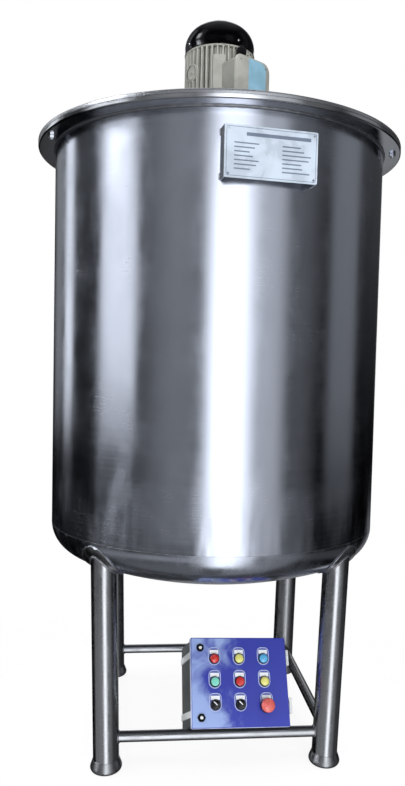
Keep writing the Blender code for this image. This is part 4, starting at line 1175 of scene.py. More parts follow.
def build_pedestal():
    """Flanged casting between lid and motor, with its bolts."""
    bottom = LID_TOP_Z + GAP
    foot = bottom + PEDESTAL_FLANGE
    head = PEDESTAL_TOP_Z - PEDESTAL_FLANGE
    ease = 0.0012
    fillet = 0.006
    barrel = PEDESTAL_BARREL_RADIUS
    outer = [(PEDESTAL_FLANGE_RADIUS - ease, bottom), (PEDESTAL_FLANGE_RADIUS, bottom + ease)]
    outer += arc((PEDESTAL_FLANGE_RADIUS - ease, foot - ease), ease, 0.0, QUARTER, 3)
    outer += arc((barrel + fillet, foot + fillet), fillet, -QUARTER, -math.pi, 6)
    outer += arc((barrel + fillet, head - fillet), fillet, math.pi, QUARTER, 6)
    outer += arc((PEDESTAL_TOP_RADIUS - ease, head + ease), ease, -QUARTER, 0.0, 3)
    outer += [(PEDESTAL_TOP_RADIUS, PEDESTAL_TOP_Z - ease), (PEDESTAL_TOP_RADIUS - ease, PEDESTAL_TOP_Z)]
    bore = [(PEDESTAL_BORE_RADIUS, PEDESTAL_TOP_Z), (PEDESTAL_BORE_RADIUS, bottom)]
    casting = lathe(outer + bore, 96, loop=True)
    piece("pedestal_casting", casting, CAST_PAINT, place=MOTOR_AXIS, stands_for=["motor_pedestal"])
    bolts = Shape()
    for i in range(PEDESTAL_BOLTS):
        place = around(360.0 * (i + 0.5) / PEDESTAL_BOLTS, PEDESTAL_BOLT_RADIUS, foot)
        bolts.add(hexagon(PEDESTAL_BOLT_FLATS, PEDESTAL_WASHER, PEDESTAL_BOLT_TOP), place)
        bolts.add(cylinder(PEDESTAL_WASHER_RADIUS, 0.0, PEDESTAL_WASHER), place)
    shield = PEDESTAL_TOP_Z + GAP + PEDESTAL_FLANGE
    for i in range(MOTOR_BOLTS):
        azimuth = 45.0 + 360.0 * i / MOTOR_BOLTS
        above = around(azimuth, MOTOR_BOLT_RADIUS, shield - 0.001)
        bolts.add(hexagon(PEDESTAL_BOLT_FLATS, 0.0, 0.0070), above)
        bolts.add(hexagon(PEDESTAL_BOLT_FLATS, -0.0080, 0.0), around(azimuth, MOTOR_BOLT_RADIUS, head))
    piece("pedestal_bolts", bolts, BOLT_STEEL, place=MOTOR_AXIS)


def finned_section(height):
    """Section of the motor body, with rounded fin tips and roots."""
    pitch = 2 * math.pi / FIN_COUNT
    tip = FIN_TIP_SHARE
    root = FIN_ROOT_SHARE
    half = [(0.0, 1.0), (tip * 0.7, 0.98), (tip, 0.90), (tip * 1.12, 0.50)]
    half += [(root * 0.93, 0.10), (root * 1.25, 0.0)]
    whole = [(-share, rise) for share, rise in reversed(half[1:])] + half
    points = []
    for fin in range(FIN_COUNT):
        for share, rise in whole:
            radius = FIN_ROOT_RADIUS + (FIN_TIP_RADIUS - FIN_ROOT_RADIUS) * rise
            points.append(polar(radius, (fin + share) * pitch, height))
    return points


def build_motor():
    """End shield, finned body and the collar under the fan cover."""
    build_pedestal()
    bottom = PEDESTAL_TOP_Z + GAP
    flange = PEDESTAL_TOP_Z + PEDESTAL_FLANGE
    shield = [(0.0, bottom), (PEDESTAL_TOP_RADIUS - 0.001, bottom), (PEDESTAL_TOP_RADIUS, bottom + 0.001)]
    shield += arc((PEDESTAL_TOP_RADIUS - 0.002, flange - 0.002), 0.002, 0.0, QUARTER, 4)
    neck = END_SHIELD_NECK_RADIUS
    slope = END_SHIELD_SLOPE
    shield += arc((neck + slope, flange + slope), slope, -QUARTER, -math.pi, 5)
    shield += [(neck, END_SHIELD_TOP_Z), (0.0, END_SHIELD_TOP_Z)]
    casting = lathe(shield, 96)
    piece("end_shield_casting", casting, MOTOR_PAINT, place=MOTOR_AXIS, stands_for=["motor_end_shield"])
    low = END_SHIELD_TOP_Z + GAP
    top = COVER_BOTTOM_Z - GAP
    body = loft([finned_section(low), finned_section(top - COLLAR_HEIGHT)], capped=True)
    piece("finned_body", body, FIN_PAINT, place=MOTOR_AXIS, stands_for=["motor_body"])
    base = top - COLLAR_HEIGHT
    collar = [(0.0, base), (FIN_TIP_RADIUS - 0.0015, base), (FIN_TIP_RADIUS, base + 0.0015)]
    collar += [(FIN_TIP_RADIUS, top), (0.0, top)]
    piece("body_collar", lathe(collar, 96), MOTOR_PAINT, place=MOTOR_AXIS)
    build_fan_cover()
    build_terminal_box()
    build_motor_fittings()


def cover_radius(height):
    """Radius of the fan cover's dome at a height over its shoulder."""
    rise = (height - COVER_SHOULDER_Z) / (COVER_TOP_Z - COVER_SHOULDER_Z)
    return COVER_RADIUS * math.cos(math.asin(rise)) ** COVER_POWER


def build_fan_cover():
    """Domed cover with a rolled edge, low ribs on top and four screws."""
    roll = 0.0012
    edge = COVER_RADIUS - roll
    low = COVER_BOTTOM_Z + roll
    skirt = [(0.0, COVER_BOTTOM_Z)] + arc((edge, low), roll, -QUARTER, QUARTER, 6)
    skirt += [(edge - 0.0004, low + roll + 0.001)]
    top = dome(COVER_RADIUS, COVER_SHOULDER_Z, COVER_TOP_Z, 32, COVER_POWER)
    cover = lathe(skirt + [(max(0.0, radius - COVER_INSET), height) for radius, height in top], 128)
    piece("fan_cover_shell", cover, COVER_PAINT, place=MOTOR_AXIS, stands_for=["fan_cover"])
    grille = Shape()
    for drop in COVER_RIB_DROPS:
        height = COVER_TOP_Z - drop
        path = circle(cover_radius(height), height - COVER_RIB_SINK, 160)
        grille.add(bead(path, COVER_RIB_RADIUS, ripple=0.0, sides=8))
    piece("fan_cover_ribs", grille, COVER_PAINT, place=MOTOR_AXIS)
    screws = Shape()
    for i in range(4):
        place = upright(COVER_SCREW_AZIMUTH + 90.0 * i, COVER_RADIUS - 0.0008, COVER_SHOULDER_Z - 0.004)
        head = [(0.0, 0.0), (0.0042, 0.0), (0.0040, 0.0012), (0.0028, 0.0022), (0.0, 0.0026)]
        screws.add(lathe(head, 24), place)
    piece("fan_cover_screws", screws, BOLT_STEEL, place=MOTOR_AXIS)


def build_terminal_box():
    """Box seated on the fins, with its lid, label, screws and gland."""
    half_w = TERMINAL_WIDTH / 2
    half_h = TERMINAL_HEIGHT / 2
    place = upright(TERMINAL_AZIMUTH, TERMINAL_FACE, TERMINAL_CENTRE_Z, MOTOR_X)
    outer = cut_corners(-half_w, half_w, -half_h, half_h, TERMINAL_CORNER, TERMINAL_CUT)
    levels = [(inset(outer, 0.0015), -TERMINAL_LID), (outer, -TERMINAL_LID + 0.001), (outer, -0.0045)]
    levels += [(inset(outer, 0.0012), -0.0018), (inset(outer, 0.0045), 0.0)]
    piece("terminal_lid_casting", stacked(levels), MOTOR_PAINT, place=place, stands_for=["terminal_box_lid"])
    small_w = half_w - TERMINAL_INSET
    small_h = half_h - TERMINAL_INSET
    corner = TERMINAL_CORNER - TERMINAL_INSET
    small = cut_corners(-small_w, small_w, -small_h, small_h, corner, TERMINAL_CUT - TERMINAL_INSET)
    reach = FIN_TIP_RADIUS + GAP
    back = [(x, y, math.sqrt(max(0.0, reach**2 - x**2)) - TERMINAL_FACE) for x, y in small]
    front = [(x, y, -TERMINAL_LID - GAP) for x, y in small]
    casting = loft([back, front], capped=True)
    piece("terminal_box_casting", casting, BOX_SHADE_PAINT, place=place, stands_for=["terminal_box"])
    screws = Shape()
    for side_x, side_y in CORNERS.values():
        edge = 0.016 if side_x + side_y < 2 else 0.019
        here = shift(side_x * (half_w - edge), side_y * (half_h - edge), -0.0012)
        head = [(0.0, 0.0), (0.0045, 0.0), (0.0045, 0.0006), (0.0030, 0.0012), (0.0, 0.0012)]
        screws.add(lathe(head, 24), here)
    piece("terminal_lid_screws", screws, BOLT_STEEL, place=place)
    label = plate(cut_corners(*TERMINAL_LABEL, 0.003, 0.024), -0.0006, 0.0003)
    piece("terminal_label", label, MOTOR_LABEL, place=place)
    gland = Shape()
    gland.add(hexagon(GLAND_FLATS, 0.0, 0.010))
    gland.add(cylinder(GLAND_RADIUS, 0.009, 0.018))
    gland.add(hexagon(GLAND_NUT_FLATS, 0.018, 0.036, 10.0))
    gland.add(lathe([(0.0, 0.035), (0.0110, 0.035), (0.0100, 0.041), (0.0070, 0.044), (0.0, 0.044)], 32))
    seat = place @ shift(GLAND_U, small_h, -GLAND_DEPTH) @ spin(-90.0, "X")
    piece("entry_gland", gland, BLACK_PLASTIC, place=seat)


def cut_corners(left, right, low, high, corner, cut):
    """Anticlockwise rectangle with round corners, the upper right one larger than the others."""
    large = arc((right - cut, high - cut), cut, 0.0, QUARTER, 8)
    others = rounded_rectangle(left, right, low, high, corner, 6)
    return large + others[7:]


def build_motor_fittings():
    """Bare plate, round boss and lifting eye on the finned body."""
    width, height = MOTOR_PLATE_SIZE
    seat = upright(MOTOR_PLATE_AZIMUTH, FIN_TIP_RADIUS - 0.0012, MOTOR_PLATE_Z, MOTOR_X)
    sheet = plate(centred(width / 2, height / 2, 0.003), 0.0, 0.0012)
    piece("motor_plate", sheet, MOTOR_PAINT, place=seat)
    rivets = Shape()
    for side in (-1, 1):
        head = [(0.0, 0.0012), (0.0028, 0.0012), (0.0022, 0.0024), (0.0, 0.0029)]
        rivets.add(lathe(head, 20), shift(0.0, side * (height / 2 - 0.006)))
    piece("motor_plate_rivets", rivets, BOLT_STEEL, place=seat)
    boss = [(0.0, -0.012), (BOSS_RADIUS, -0.012), (BOSS_RADIUS, 0.0008), (BOSS_RADIUS - 0.0012, 0.002)]
    boss += [(BOSS_RADIUS - 0.004, 0.002), (BOSS_RADIUS - 0.0052, 0.0006), (0.008, 0.0006), (0.0075, 0.0022)]
    boss += [(0.006, 0.003), (0.0, 0.003)]
    seat = upright(BOSS_AZIMUTH, FIN_TIP_RADIUS - 0.001, BOSS_Z, MOTOR_X)
    piece("motor_boss", lathe(boss, 48), MOTOR_PAINT, place=seat)
    groove = Shape()
    for start, end in ((95.0, 300.0), (-45.0, 40.0)):
        path = arc((0.0, 0.0), BOSS_RADIUS * 0.82, math.radians(start), math.radians(end), 40)
        groove.add(bead([(x, y, 0.0012) for x, y in path], 0.0012, closed=False, ripple=0.0))
    piece("motor_boss_groove", groove, RUBBER, place=seat)
    eye = bead(circle(EYE_RADIUS, 0.0, 48), EYE_THICKNESS, ripple=0.0, sides=16)
    seat = upright(EYE_AZIMUTH, FIN_TIP_RADIUS + 0.004, EYE_Z, MOTOR_X)
    piece("lifting_eye", eye, MOTOR_PAINT, place=seat)


def build_name_plate():
    """Name plate, backing sheet and the two webs that reach the shell."""
    place = upright(PLATE_AZIMUTH, PLATE_DISTANCE, PLATE_CENTRE_Z)
    half_w = PLATE_WIDTH / 2
    half_h = PLATE_HEIGHT / 2

    def border(shrink, corner=0.004):
        return centred(half_w - shrink, half_h - shrink, corner)

    face = stacked([(border(0.0), -PLATE_SHEET), (border(0.0), -0.0004), (border(0.0004), 0.0)])
    piece("name_plate_face", face, PLATE_FINISH, place=place, stands_for=["name_plate"])
    marks = Shape()
    hole = list(reversed(border(0.0058, 0.002)))
    marks.add(plate(border(0.0045, 0.003), -PRINT_DEPTH, 0.00012, holes=[hole]))
    for i in range(PRINT_ROWS):
        level = half_h - PRINT_TOP - i * PRINT_PITCH
        for j, (left, longest) in enumerate(PRINT_COLUMNS):
            length = longest * (0.62 + 0.38 * math.cos(2.4 * i + 1.7 * j) ** 2)
            bar = rounded_rectangle(left, left + length, level, level + PRINT_HEIGHT, 0.0008, 3)
            marks.add(plate(bar, -PRINT_DEPTH, PRINT_RISE))
    header = rounded_rectangle(-0.068, 0.106, half_h - 0.026, half_h - 0.017, 0.001, 3)
    marks.add(plate(header, -PRINT_DEPTH, PRINT_RISE))
    piece("name_plate_print", marks, PLATE_LINES, place=place)
    screws = Shape()
    for side_x, side_y in CORNERS.values():
        here = shift(side_x * (half_w - PLATE_SCREW_INSET), side_y * (half_h - PLATE_SCREW_INSET))
        screws.add(cylinder(PLATE_SCREW_RADIUS, -0.001, 0.0, 24), here)
    piece("name_plate_screws", screws, BOLT_STEEL, place=place)
    back = -PLATE_SHEET - GAP
    rear = back - TRAY_SHEET
    sheet = stacked([(border(0.0005), rear), (border(0.0), rear + 0.0005), (border(0.0), back)])
    piece("name_plate_sheet", sheet, ZINC_COAT, place=place, stands_for=["name_plate_tray"])
    webs = Shape()
    tacks = Shape()
    for side in (-1, 1):
        inner, outer = sorted((side * (half_w - TRAY_SHEET), side * half_w))
        outline = rounded_rectangle(inner, outer, -half_h, half_h, 0.0008, 3)
        behind = [(x, y, shell_depth(x)) for x, y in outline]
        webs.add(loft([behind, *levelled([(outline, rear)])], capped=True))
        for end in (-1, 1):
            u = side * (half_w + 0.0012)
            heights = [end * (half_h - 0.002 - 0.016 * i / 12) for i in range(13)]
            tacks.add(bead([(u, v, shell_depth(u) + 0.0012) for v in heights], TACK_WELD, closed=False))
    piece("name_plate_webs", webs, PLATE_STEEL, place=place)
    piece("name_plate_tacks", tacks, WELD_STEEL, place=place)


def shell_depth(u):
    """Where the shell's surface is behind the name plate's face, at u across the plate."""
    return math.sqrt((SHELL_RADIUS + GAP) ** 2 - u**2) - PLATE_DISTANCE


def panel_place():
    """Local X is u, Z is v and Y runs into the box."""
    half = leg_half_spacing(BRACE_Z)
    lean = math.radians(PANEL_LEAN)
    under_case = (DOOR_HEIGHT - CASE_HEIGHT) / 2
    reach = BRACE_RADIUS + GAP - under_case + (-half - PANEL_FACE_Y) * math.sin(lean)
    base = shift(PANEL_X, PANEL_FACE_Y, BRACE_Z + reach / math.cos(lean))
    return base @ spin(-PANEL_LEAN, "X") @ spin(PANEL_TURN)


def on_face(u, v):
    """Place on the door's face: local X is u, Y is v and Z points out of the door."""
    return panel_place() @ shift(u, 0, v) @ spin(90.0, "X")


def box_outline(width, low, high, shrink, corner):
    """Outline of the control box, drawn in by a distance."""
    half = width / 2 - shrink
    return rounded_rectangle(-half, half, low + shrink, high - shrink, max(0.0006, corner - shrink))


def device_places():
    """Middle of each device on the door, by row and column."""
    places = {
        (row, column): (GRID_CENTRE_U + (column - 2) * COLUMN_PITCH, v)
        for row, v in enumerate(ROW_LEVELS, start=1) for column in (1, 2, 3)
    }
    u, v = places[3, 3]
    places[3, 3] = (u + STOP_SHIFT[0], v + STOP_SHIFT[1])
    return places


def build_door(places):
    """Folded edges, face with its holes, and gasket."""
    flat = on_face(0.0, 0.0)

    def border(shrink, corner=DOOR_CORNER):
        return box_outline(DOOR_WIDTH, 0.0, DOOR_HEIGHT, shrink, corner)

    edge = [(border(0.0), -DOOR_DEPTH)] + rounding(border, DOOR_ROUNDING, 0.0, 6)
    edge += [(border(DOOR_ROUNDING), -DOOR_SHEET), (border(DOOR_SHEET), -DOOR_SHEET - 0.0012)]
    edge += [(border(DOOR_SHEET), -DOOR_DEPTH)]
    piece("door_edges", loft(levelled(edge), loop=True), DOOR_EDGE, "door", flat, ["panel_door"])
    holes = [polygon(DOOR_HOLE_RADIUS, 24, centre=spot) for spot in places.values()]
    holes += [polygon(DOOR_HOLE_RADIUS, 24, centre=(LOCK_U, v)) for v in LOCK_LEVELS.values()]
    sheet = plate(border(DOOR_ROUNDING), -DOOR_SHEET, 0.0, holes)
    piece("door_face", sheet, DOOR_PAINT, "door", flat)
    low, high = -DOOR_DEPTH + 0.0015, -DOOR_SHEET
    shoulder = low + 0.002
    section = (
        (0.006, high), (0.0065, shoulder), (0.0085, low),
        (0.0125, low), (0.0145, shoulder), (0.015, high),
    )
    seal = levelled([(border(shrink, GASKET_CORNER), z) for shrink, z in section])
    piece("door_gasket", loft(seal, loop=True), RUBBER, "door", flat)


def build_case():
    """Case with rounded edges and a lip round its open front."""
    def border(shrink):
        low = (DOOR_HEIGHT - CASE_HEIGHT) / 2
        return box_outline(CASE_WIDTH, low, low + CASE_HEIGHT, shrink, CASE_ROUNDING + 0.001)

    front = -DOOR_DEPTH - DOOR_CLEARANCE
    inner = CASE_SHEET
    levels = [(border(inner), -CASE_REAR + inner), (border(inner), front - inner)]
    levels += [(border(CASE_LIP), front - inner), (border(CASE_LIP), front)]
    levels += reversed(rounding(border, CASE_ROUNDING, front, 5))
    levels += rounding(border, CASE_ROUNDING, -CASE_REAR, 5, -1)
    piece("case_body", stacked(levels), CASE_PAINT, place=on_face(0.0, 0.0), stands_for=["panel_case"])


def barrel(low, high, radius, bore=0.0):
    """Hinge barrel or pin, with an optional bore."""
    ease = 0.0006
    profile = [(bore, low), (radius - ease, low), (radius, low + ease), (radius, high - ease)]
    return lathe([*profile, (radius - ease, high), (bore, high)], 32, loop=bore > 0.0)


def build_hinges():
    """Two hinges, each with a fixed and a moving part."""
    third = HINGE_LENGTH / 3
    side = CASE_WIDTH / 2 + GAP
    leaf_front = DOOR_DEPTH + HINGE_DOOR_CLEARANCE
    tab_outer = HINGE_U - HINGE_PIN_RADIUS
    axis = panel_place() @ shift(HINGE_U, HINGE_Y)
    for name, level in HINGE_LEVELS.items():
        low = level - HINGE_LENGTH / 2
        fixed = Shape()
        to_panel = shift(-HINGE_U, -HINGE_Y)
        for start in (low, low + 2 * third):
            fixed.add(barrel(start + GAP, start + third - GAP, HINGE_BARREL_RADIUS))
            bottom, top = start + 2 * GAP, start + third - 2 * GAP
            leaf_rear = leaf_front + HINGE_LEAF
            arm = [(tab_outer - HINGE_LEAF, HINGE_Y), (tab_outer, HINGE_Y), (tab_outer, leaf_rear)]
            arm += [(side, leaf_rear), (side, leaf_front), (tab_outer - HINGE_LEAF, leaf_front)]
            fixed.add(plate(arm, bottom, top), to_panel)
        fixed.add(barrel(low - 0.0006, low + HINGE_LENGTH + 0.0006, HINGE_PIN_RADIUS))
        leaf = [(side, leaf_front), (side + HINGE_LEAF, leaf_front)]
        leaf += [(side + HINGE_LEAF, HINGE_LEAF_REAR), (side, HINGE_LEAF_REAR)]
        fixed.add(prism(leaf, low, low + HINGE_LENGTH, 0.0003), to_panel)
        piece(f"hinge_fixed_{name}", fixed, ZINC_COAT, place=axis, stands_for=[f"hinge_{name}"])
        moving = Shape()
        middle = low + third
        moving.add(barrel(middle + GAP, middle + third - GAP, HINGE_BARREL_RADIUS, HINGE_PIN_RADIUS + GAP))
        left, right = DOOR_WIDTH / 2 - 0.0005, HINGE_U - 0.003
        front, back = HINGE_Y - 0.001, HINGE_Y + 0.001
        tongue = [(left, front), (right, front), (right, back), (left, back)]
        moving.add(prism(tongue, middle + 2 * GAP, middle + third - 2 * GAP, 0.0002), to_panel)
        piece(f"hinge_moving_{name}", moving, ZINC_COAT, "door", axis)


def bezel(inner, has_well=False, outer=BEZEL_RADIUS):
    """Front ring of a device, with a rounded outer edge; under a push button the bore widens to a well."""
    top = BEZEL_HEIGHT
    profile = [(inner, GAP), (outer - 0.0004, GAP), (outer, GAP + 0.0004), (outer, top - BEZEL_CHAMFER)]
    profile += arc((outer - BEZEL_CHAMFER, top - BEZEL_CHAMFER), BEZEL_CHAMFER, 0.1, QUARTER, 5)
    if has_well:
        profile += [(WELL_RADIUS + 0.0002, top), (WELL_RADIUS, top - 0.0002), (WELL_RADIUS, WELL_FLOOR)]
        profile += [(inner, WELL_FLOOR)]
    else:
        profile += [(inner + 0.0002, top), (inner, top - 0.0002)]
    return lathe(profile, DEVICE_SIDES, loop=True)


def contact_block():
    """Neck through the door, clamping ring and contact block behind it."""
    rear = -DOOR_SHEET - GAP
    block = Shape()
    neck = [(BORE_RADIUS, rear), (NECK_RADIUS, rear), (NECK_RADIUS, GAP), (BORE_RADIUS, GAP)]
    block.add(lathe(neck, 32, loop=True))
    ring = rear - RING_DEPTH
    floor = ring + RING_FLOOR
    profile = [(0.0, ring), (BLOCK_RADIUS, ring), (BLOCK_RADIUS, rear)]
    profile += [(BORE_RADIUS, rear), (BORE_RADIUS, floor), (0.0, floor)]
    block.add(lathe(profile, 10))
    half = BLOCK_RADIUS * 0.68
    screw = 0.0008
    block.add(prism(centred(half, half, 0.0012, 3), -BLOCK_REAR + screw, ring, 0.0006))
    for side in (-1, 1):
        block.add(cylinder(0.0026, 0.0, screw, 16), shift(side * half * 0.5, 0.0, -BLOCK_REAR))
    return block


def legend(u, v, neck=(0.0, 0.0)):
    """Shield-shaped plate under a device, with a hole for its neck, a raised rim and a blank tag."""
    place = on_face(u, v)
    outline = shield(0.0)
    hole = polygon(NECK_RADIUS + 0.0002, 32, centre=neck)
    sheet = plate(outline, 0.0001, LEGEND_SHEET, [hole])
    piece(f"legend_plate_{u:.3f}_{v:.3f}", sheet, LEGEND_SHEEN, "door", place)
    rim = plate(outline, LEGEND_SHEET, LEGEND_SHEET + 0.0004, [shield(0.0019)])
    piece(f"legend_rim_{u:.3f}_{v:.3f}", rim, LEGEND_RIM, "door", place)
    half_w, half_h = TAG_SIZE[0] / 2, TAG_SIZE[1] / 2
    outline = rounded_rectangle(-half_w, half_w, TAG_RISE - half_h, TAG_RISE + half_h, 0.0012, 3)
    tag = prism(outline, LEGEND_SHEET, LEGEND_SHEET + TAG_SHEET, 0.0002)
    piece(f"tag_{u:.3f}_{v:.3f}", tag, TAG_WHITE, "door", place)


def shield(shrink):
    """Outline of a legend plate, drawn in by a distance."""
    radius = LEGEND_RADIUS - shrink
    corner = LEGEND_CORNER - shrink
    top = LEGEND_TOP - shrink
    points = arc((radius - corner, top - corner), corner, 0.0, QUARTER, 6)
    points += arc((corner - radius, top - corner), corner, QUARTER, math.pi, 6)
    return points + arc((0.0, 0.0), radius, math.pi, 2 * math.pi, 24)


def device_base(name, node, spot, inner=BORE_RADIUS, **options):
    """Bezel, neck and contact block of a device; gives back its place on the door."""
    place = on_face(*spot)
    skin = contact_block().add(bezel(inner, **options))
    piece(f"{name}_bezel", skin, BLACK_PLASTIC, "door", place, [node])
    return place


def stem(top):
    """Start of the profile of a moving head, up its stem to a height."""
    return [(0.0, -STEM_DEPTH), (STEM_RADIUS, -STEM_DEPTH), (STEM_RADIUS, top)]


def build_lamp(name, colour, spot):
    """Pilot lamp with a domed lens."""
    place = device_base(name, name, spot, LENS_RADIUS)
    radius = LENS_RADIUS - 0.0001
    lens = [(0.0, 0.001), (radius, 0.001)] + dome(radius, BEZEL_HEIGHT + 0.002, LENS_TOP, 12, 0.75)
    piece(f"{name}_lens", lathe(lens, DEVICE_SIDES), LENS[colour], "door", place)


def build_button(name, colour, spot):
    """Push button with a cap that sinks into its well."""
    place = device_base(name, f"{name}_base", spot, has_well=True)
    cap = stem(CAP_UNDERSIDE) + [(CAP_RADIUS, CAP_UNDERSIDE), (CAP_RADIUS, CAP_TOP - 0.0028)]
    cap += arc((CAP_RADIUS - 0.0022, CAP_TOP - 0.0028), 0.0022, 0.15, QUARTER - 0.1, 6)
    cap += [(CAP_RADIUS * 0.5, CAP_TOP - 0.0003), (0.0, CAP_TOP)]
    piece(f"{name}_top", lathe(cap, DEVICE_SIDES), LENS[colour], name, place, [f"{name}_cap"])


def build_selector(name, spot):
    """Turning selector with a grip and a white stroke."""
    turned = device_base(name, f"{name}_base", spot) @ spin(SELECTOR_REST_TURN)
    under = BEZEL_HEIGHT + KNOB_EDGE
    knob = Shape()
    disc = stem(under) + [(KNOB_RADIUS, under)]
    disc += arc((KNOB_RADIUS - KNOB_EDGE, KNOB_TOP - KNOB_EDGE), KNOB_EDGE, 0.0, QUARTER, 4)
    disc += [(0.0, KNOB_TOP)]
    knob.add(lathe(disc, DEVICE_SIDES))
    half_w, half_l = GRIP_WIDTH / 2, GRIP_LENGTH / 2
    foot = centred(half_w, half_l, 0.0025)
    head = centred(half_w * 0.8, half_l, 0.0025)
    small = inset(head, 0.0008)
    knob.add(stacked([(foot, KNOB_TOP - KNOB_EDGE), (head, GRIP_TOP - 0.0008), (small, GRIP_TOP)]))
    piece(f"{name}_grip", knob, KNOB_PLASTIC, name, turned, [f"{name}_knob"])
    bar = rounded_rectangle(-0.0011, 0.0011, -half_l * 0.2, half_l - 0.0012, 0.0005, 3)
    stroke = plate(bar, GRIP_TOP - 0.0004, GRIP_TOP + 0.0001)
    piece(f"{name}_stroke", stroke, TAG_WHITE, name, turned)


def build_emergency_stop(spot):
    """Mushroom head on its stem, with a wide bezel."""
    place = device_base("emergency_stop", "emergency_stop_base", spot, outer=STOP_BEZEL_RADIUS)
    head = stem(MUSHROOM_UNDERSIDE) + [(MUSHROOM_RADIUS - 0.003, MUSHROOM_UNDERSIDE)]
    head += arc((MUSHROOM_RADIUS - 0.002, MUSHROOM_UNDERSIDE + 0.002), 0.002, -QUARTER, 0.0, 4)[1:]
    head += dome(MUSHROOM_RADIUS, MUSHROOM_UNDERSIDE + 0.006, MUSHROOM_TOP, 14, 0.7)
    mushroom = lathe(head, 64)
    node = "emergency_stop_head"
    piece("emergency_stop_mushroom", mushroom, STOP_PLASTIC, "emergency_stop", place, [node])


def build_lock(name, v):
    """Door lock with a six-sided body and a turning disc."""
    place = on_face(LOCK_U, v)
    body = Shape()
    outline = polygon(LOCK_RADIUS, 6, LOCK_TURNS[name])
    body.add(stacked([(outline, GAP), (outline, LOCK_TOP - 0.0012), (inset(outline, 0.0012), LOCK_TOP)]))
    body.add(cylinder(LOCK_NECK_RADIUS, -LOCK_REAR, GAP))
    piece(f"lock_body_{name}", body, BLACK_PLASTIC, "door", place, [f"door_lock_{name}"])
    disc = [(0.0, LOCK_TOP - 0.0006), (0.0046, LOCK_TOP - 0.0006), (0.0046, LOCK_TOP + 0.0001)]
    disc += [(0.0042, LOCK_TOP + 0.0005), (0.0, LOCK_TOP + 0.0005)]
    piece(f"lock_disc_{name}", lathe(disc, 32), ZINC_COAT, "door", place)


def build_panel():
    """Control box with all its devices."""
    places = device_places()
    build_door(places)
    build_case()
    build_hinges()
    for (row, column), (u, v) in places.items():
        if (row, column) == (3, 3):
            right, up = STOP_SHIFT
            legend(u - right + STOP_LEGEND_SHIFT, v - up, (right - STOP_LEGEND_SHIFT, up))
        else:
            legend(u, v)
    build_lamp("lamp_red", "red", places[1, 1])
    build_lamp("lamp_yellow", "yellow", places[1, 2])
    build_lamp("lamp_blue", "blue", places[1, 3])
    build_button("start_button", "green", places[2, 1])
    build_button("stop_button", "red", places[2, 2])
    build_lamp("lamp_trip", "yellow", places[2, 3])
    build_selector("selector_left", places[3, 1])
    build_selector("selector_right", places[3, 2])
    build_emergency_stop(places[3, 3])
    for name, v in LOCK_LEVELS.items():
        build_lock(name, v)


def finish_cradle():
    """The cradle behind the front brace shows as the solid that it is; skins stand for all the others."""
    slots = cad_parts["panel_cradle"].data.materials
    slots.clear()
    slots.append(ZINC_COAT)


# Studio and camera

def build_studio():
    """Soft boxes, ceiling, room and backdrop, worked out from the direction of each ray."""
    world = bpy.data.worlds.new("studio")
    bpy.context.scene.world = world
    world.use_nodes = True
    tree = world.node_tree
    tree.nodes.clear()

    def node(kind, *values, **options):
        made = tree.nodes.new(kind)
        for key, value in options.items():
            setattr(made, key, value)
        for socket, value in zip(made.inputs, values):
            plug(tree, socket, value)
        return made

    def calculate(operation, *values):
        return node("ShaderNodeMath", *values, operation=operation).outputs["Value"]

    def times(first, second):
        return calculate("MULTIPLY", first, second)

    def plus(first, second):
        return calculate("ADD", first, second)

    def step(value, low, high):
        made = node("ShaderNodeMapRange", value, low, high, 0.0, 1.0, interpolation_type="SMOOTHSTEP")
        return made.outputs["Result"]

    def between(value, low, high, soft):
        past = step(value, high - soft, high + soft)
        return times(step(value, low - soft, low + soft), calculate("SUBTRACT", 1.0, past))

    direction = node("ShaderNodeSeparateXYZ", node("ShaderNodeTexCoord").outputs["Generated"])
    x, y, z = (direction.outputs[axis] for axis in "XYZ")
    azimuth = calculate("DEGREES", calculate("ARCTAN2", x, times(y, -1.0)))
    elevation = calculate("DEGREES", calculate("ARCSINE", z))
    # Runs on past 180 degrees, for the boxes behind the tank
    behind = plus(azimuth, times(calculate("LESS_THAN", azimuth, -170.0), 360.0))

    def soft_box(start, end, edge, bottom, top, brightness):
        across = between(behind if end > 180.0 else azimuth, start, end, edge / 2)
        return times(times(across, between(elevation, bottom, top, BOX_SOFTNESS)), brightness)

    path = node("ShaderNodeLightPath")
    seen = path.outputs["Is Camera Ray"]
    gloss = path.outputs["Is Glossy Ray"]
    light = times(soft_box(*WINDOW), gloss)
    for box in SOFT_BOXES:
        light = plus(light, soft_box(*box))
    overhead = calculate("SUBTRACT", CEILING_BRIGHTNESS, times(gloss, CEILING_BRIGHTNESS - CEILING_SHINE))
    light = plus(light, times(step(elevation, *CEILING_EDGE), overhead))
    light = plus(light, times(step(elevation, *ROOM_EDGE), ROOM_BRIGHTNESS))
    light = plus(light, times(calculate("SUBTRACT", 1.0, step(elevation, *GROUND_EDGE)), FLOOR_SHINE))
    light = times(light, plus(1.0, times(path.outputs["Is Diffuse Ray"], PAINT_LIGHT)))
    studio = node("ShaderNodeBackground", STUDIO_TINT, light).outputs["Background"]
    backdrop = node("ShaderNodeBackground", (1.0, 1.0, 1.0, 1.0), BACKDROP).outputs["Background"]
    mixed = node("ShaderNodeMixShader", seen, studio, backdrop).outputs["Shader"]
    output = tree.nodes.new("ShaderNodeOutputWorld")
    tree.links.new(mixed, output.inputs["Surface"])


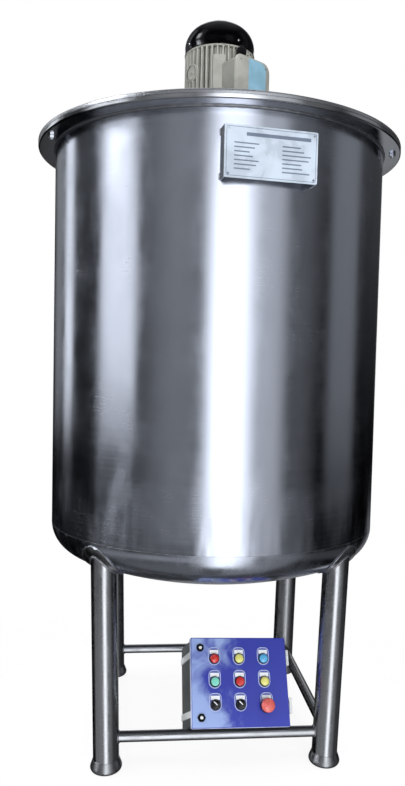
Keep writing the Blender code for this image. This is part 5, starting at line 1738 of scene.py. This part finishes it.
def build_floor():
    """Pale floor that fades out round the tank."""
    mesh = bpy.data.meshes.new("studio_floor")
    reach = FLOOR_REACH
    corners = [(-reach, -reach, 0.0), (reach, -reach, 0.0), (reach, reach, 0.0), (-reach, reach, 0.0)]
    mesh.from_pydata(corners, [], [(0, 1, 2, 3)])
    floor = bpy.data.objects.new("studio_floor", mesh)
    bpy.context.scene.collection.objects.link(floor)
    floor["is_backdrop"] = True
    floor.visible_glossy = False
    made = Finish("studio_floor_paint", "floor", Roughness=0.9)
    made.set(made.shader, {"Specular IOR Level": 0.0, "Emission Color": (1.0, 1.0, 1.0, 1.0)})
    made.set(made.shader, {"Emission Strength": FLOOR_GLOW})
    speckle = made.noise((3.0, 3.0, 3.0), detail=2.0)
    made.set(made.shader, {"Base Color": made.blend(speckle, *FLOOR_TONES)})
    mesh.materials.append(made.material)
    distance = made.node("ShaderNodeVectorMath", {0: made.place}, operation="LENGTH").outputs["Value"]
    alpha = made.spread(distance, *FLOOR_FADE, 1.0, 0.0, smooth=True)
    made.set(made.shader, {"Alpha": alpha})


def build_camera():
    """Camera at the photograph's place."""
    data = bpy.data.cameras.new("photo_camera")
    data.sensor_fit = "VERTICAL"
    data.sensor_height = SENSOR
    data.lens = LENS_LENGTH
    data.shift_x, data.shift_y = SHIFT
    camera = bpy.data.objects.new("photo_camera", data)
    bpy.context.scene.collection.objects.link(camera)
    right = Vector(CAMERA_RIGHT).normalized()
    up = Vector(CAMERA_UP).normalized()
    turn = Matrix((right, up, right.cross(up))).transposed()
    camera.matrix_world = shift(*CAMERA_PLACE) @ turn.to_4x4()
    bpy.context.scene.camera = camera


def set_view():
    """Plain view of the colours."""
    settings = bpy.context.scene.view_settings
    settings.view_transform = "Standard"
    settings.look = "None"


build_camera()
set_view()
build_studio()
build_floor()
finish_cradle()
build_vessel()
for corner, (side_x, side_y) in CORNERS.items():
    build_leg(corner, side_x, side_y)
build_braces()
build_rim_bolts()
build_motor()
build_name_plate()
build_panel()

boxes = {"cad": CAD_BOX, "visual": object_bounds()}
{name: [list(corner) for corner in box] for name, box in boxes.items()}
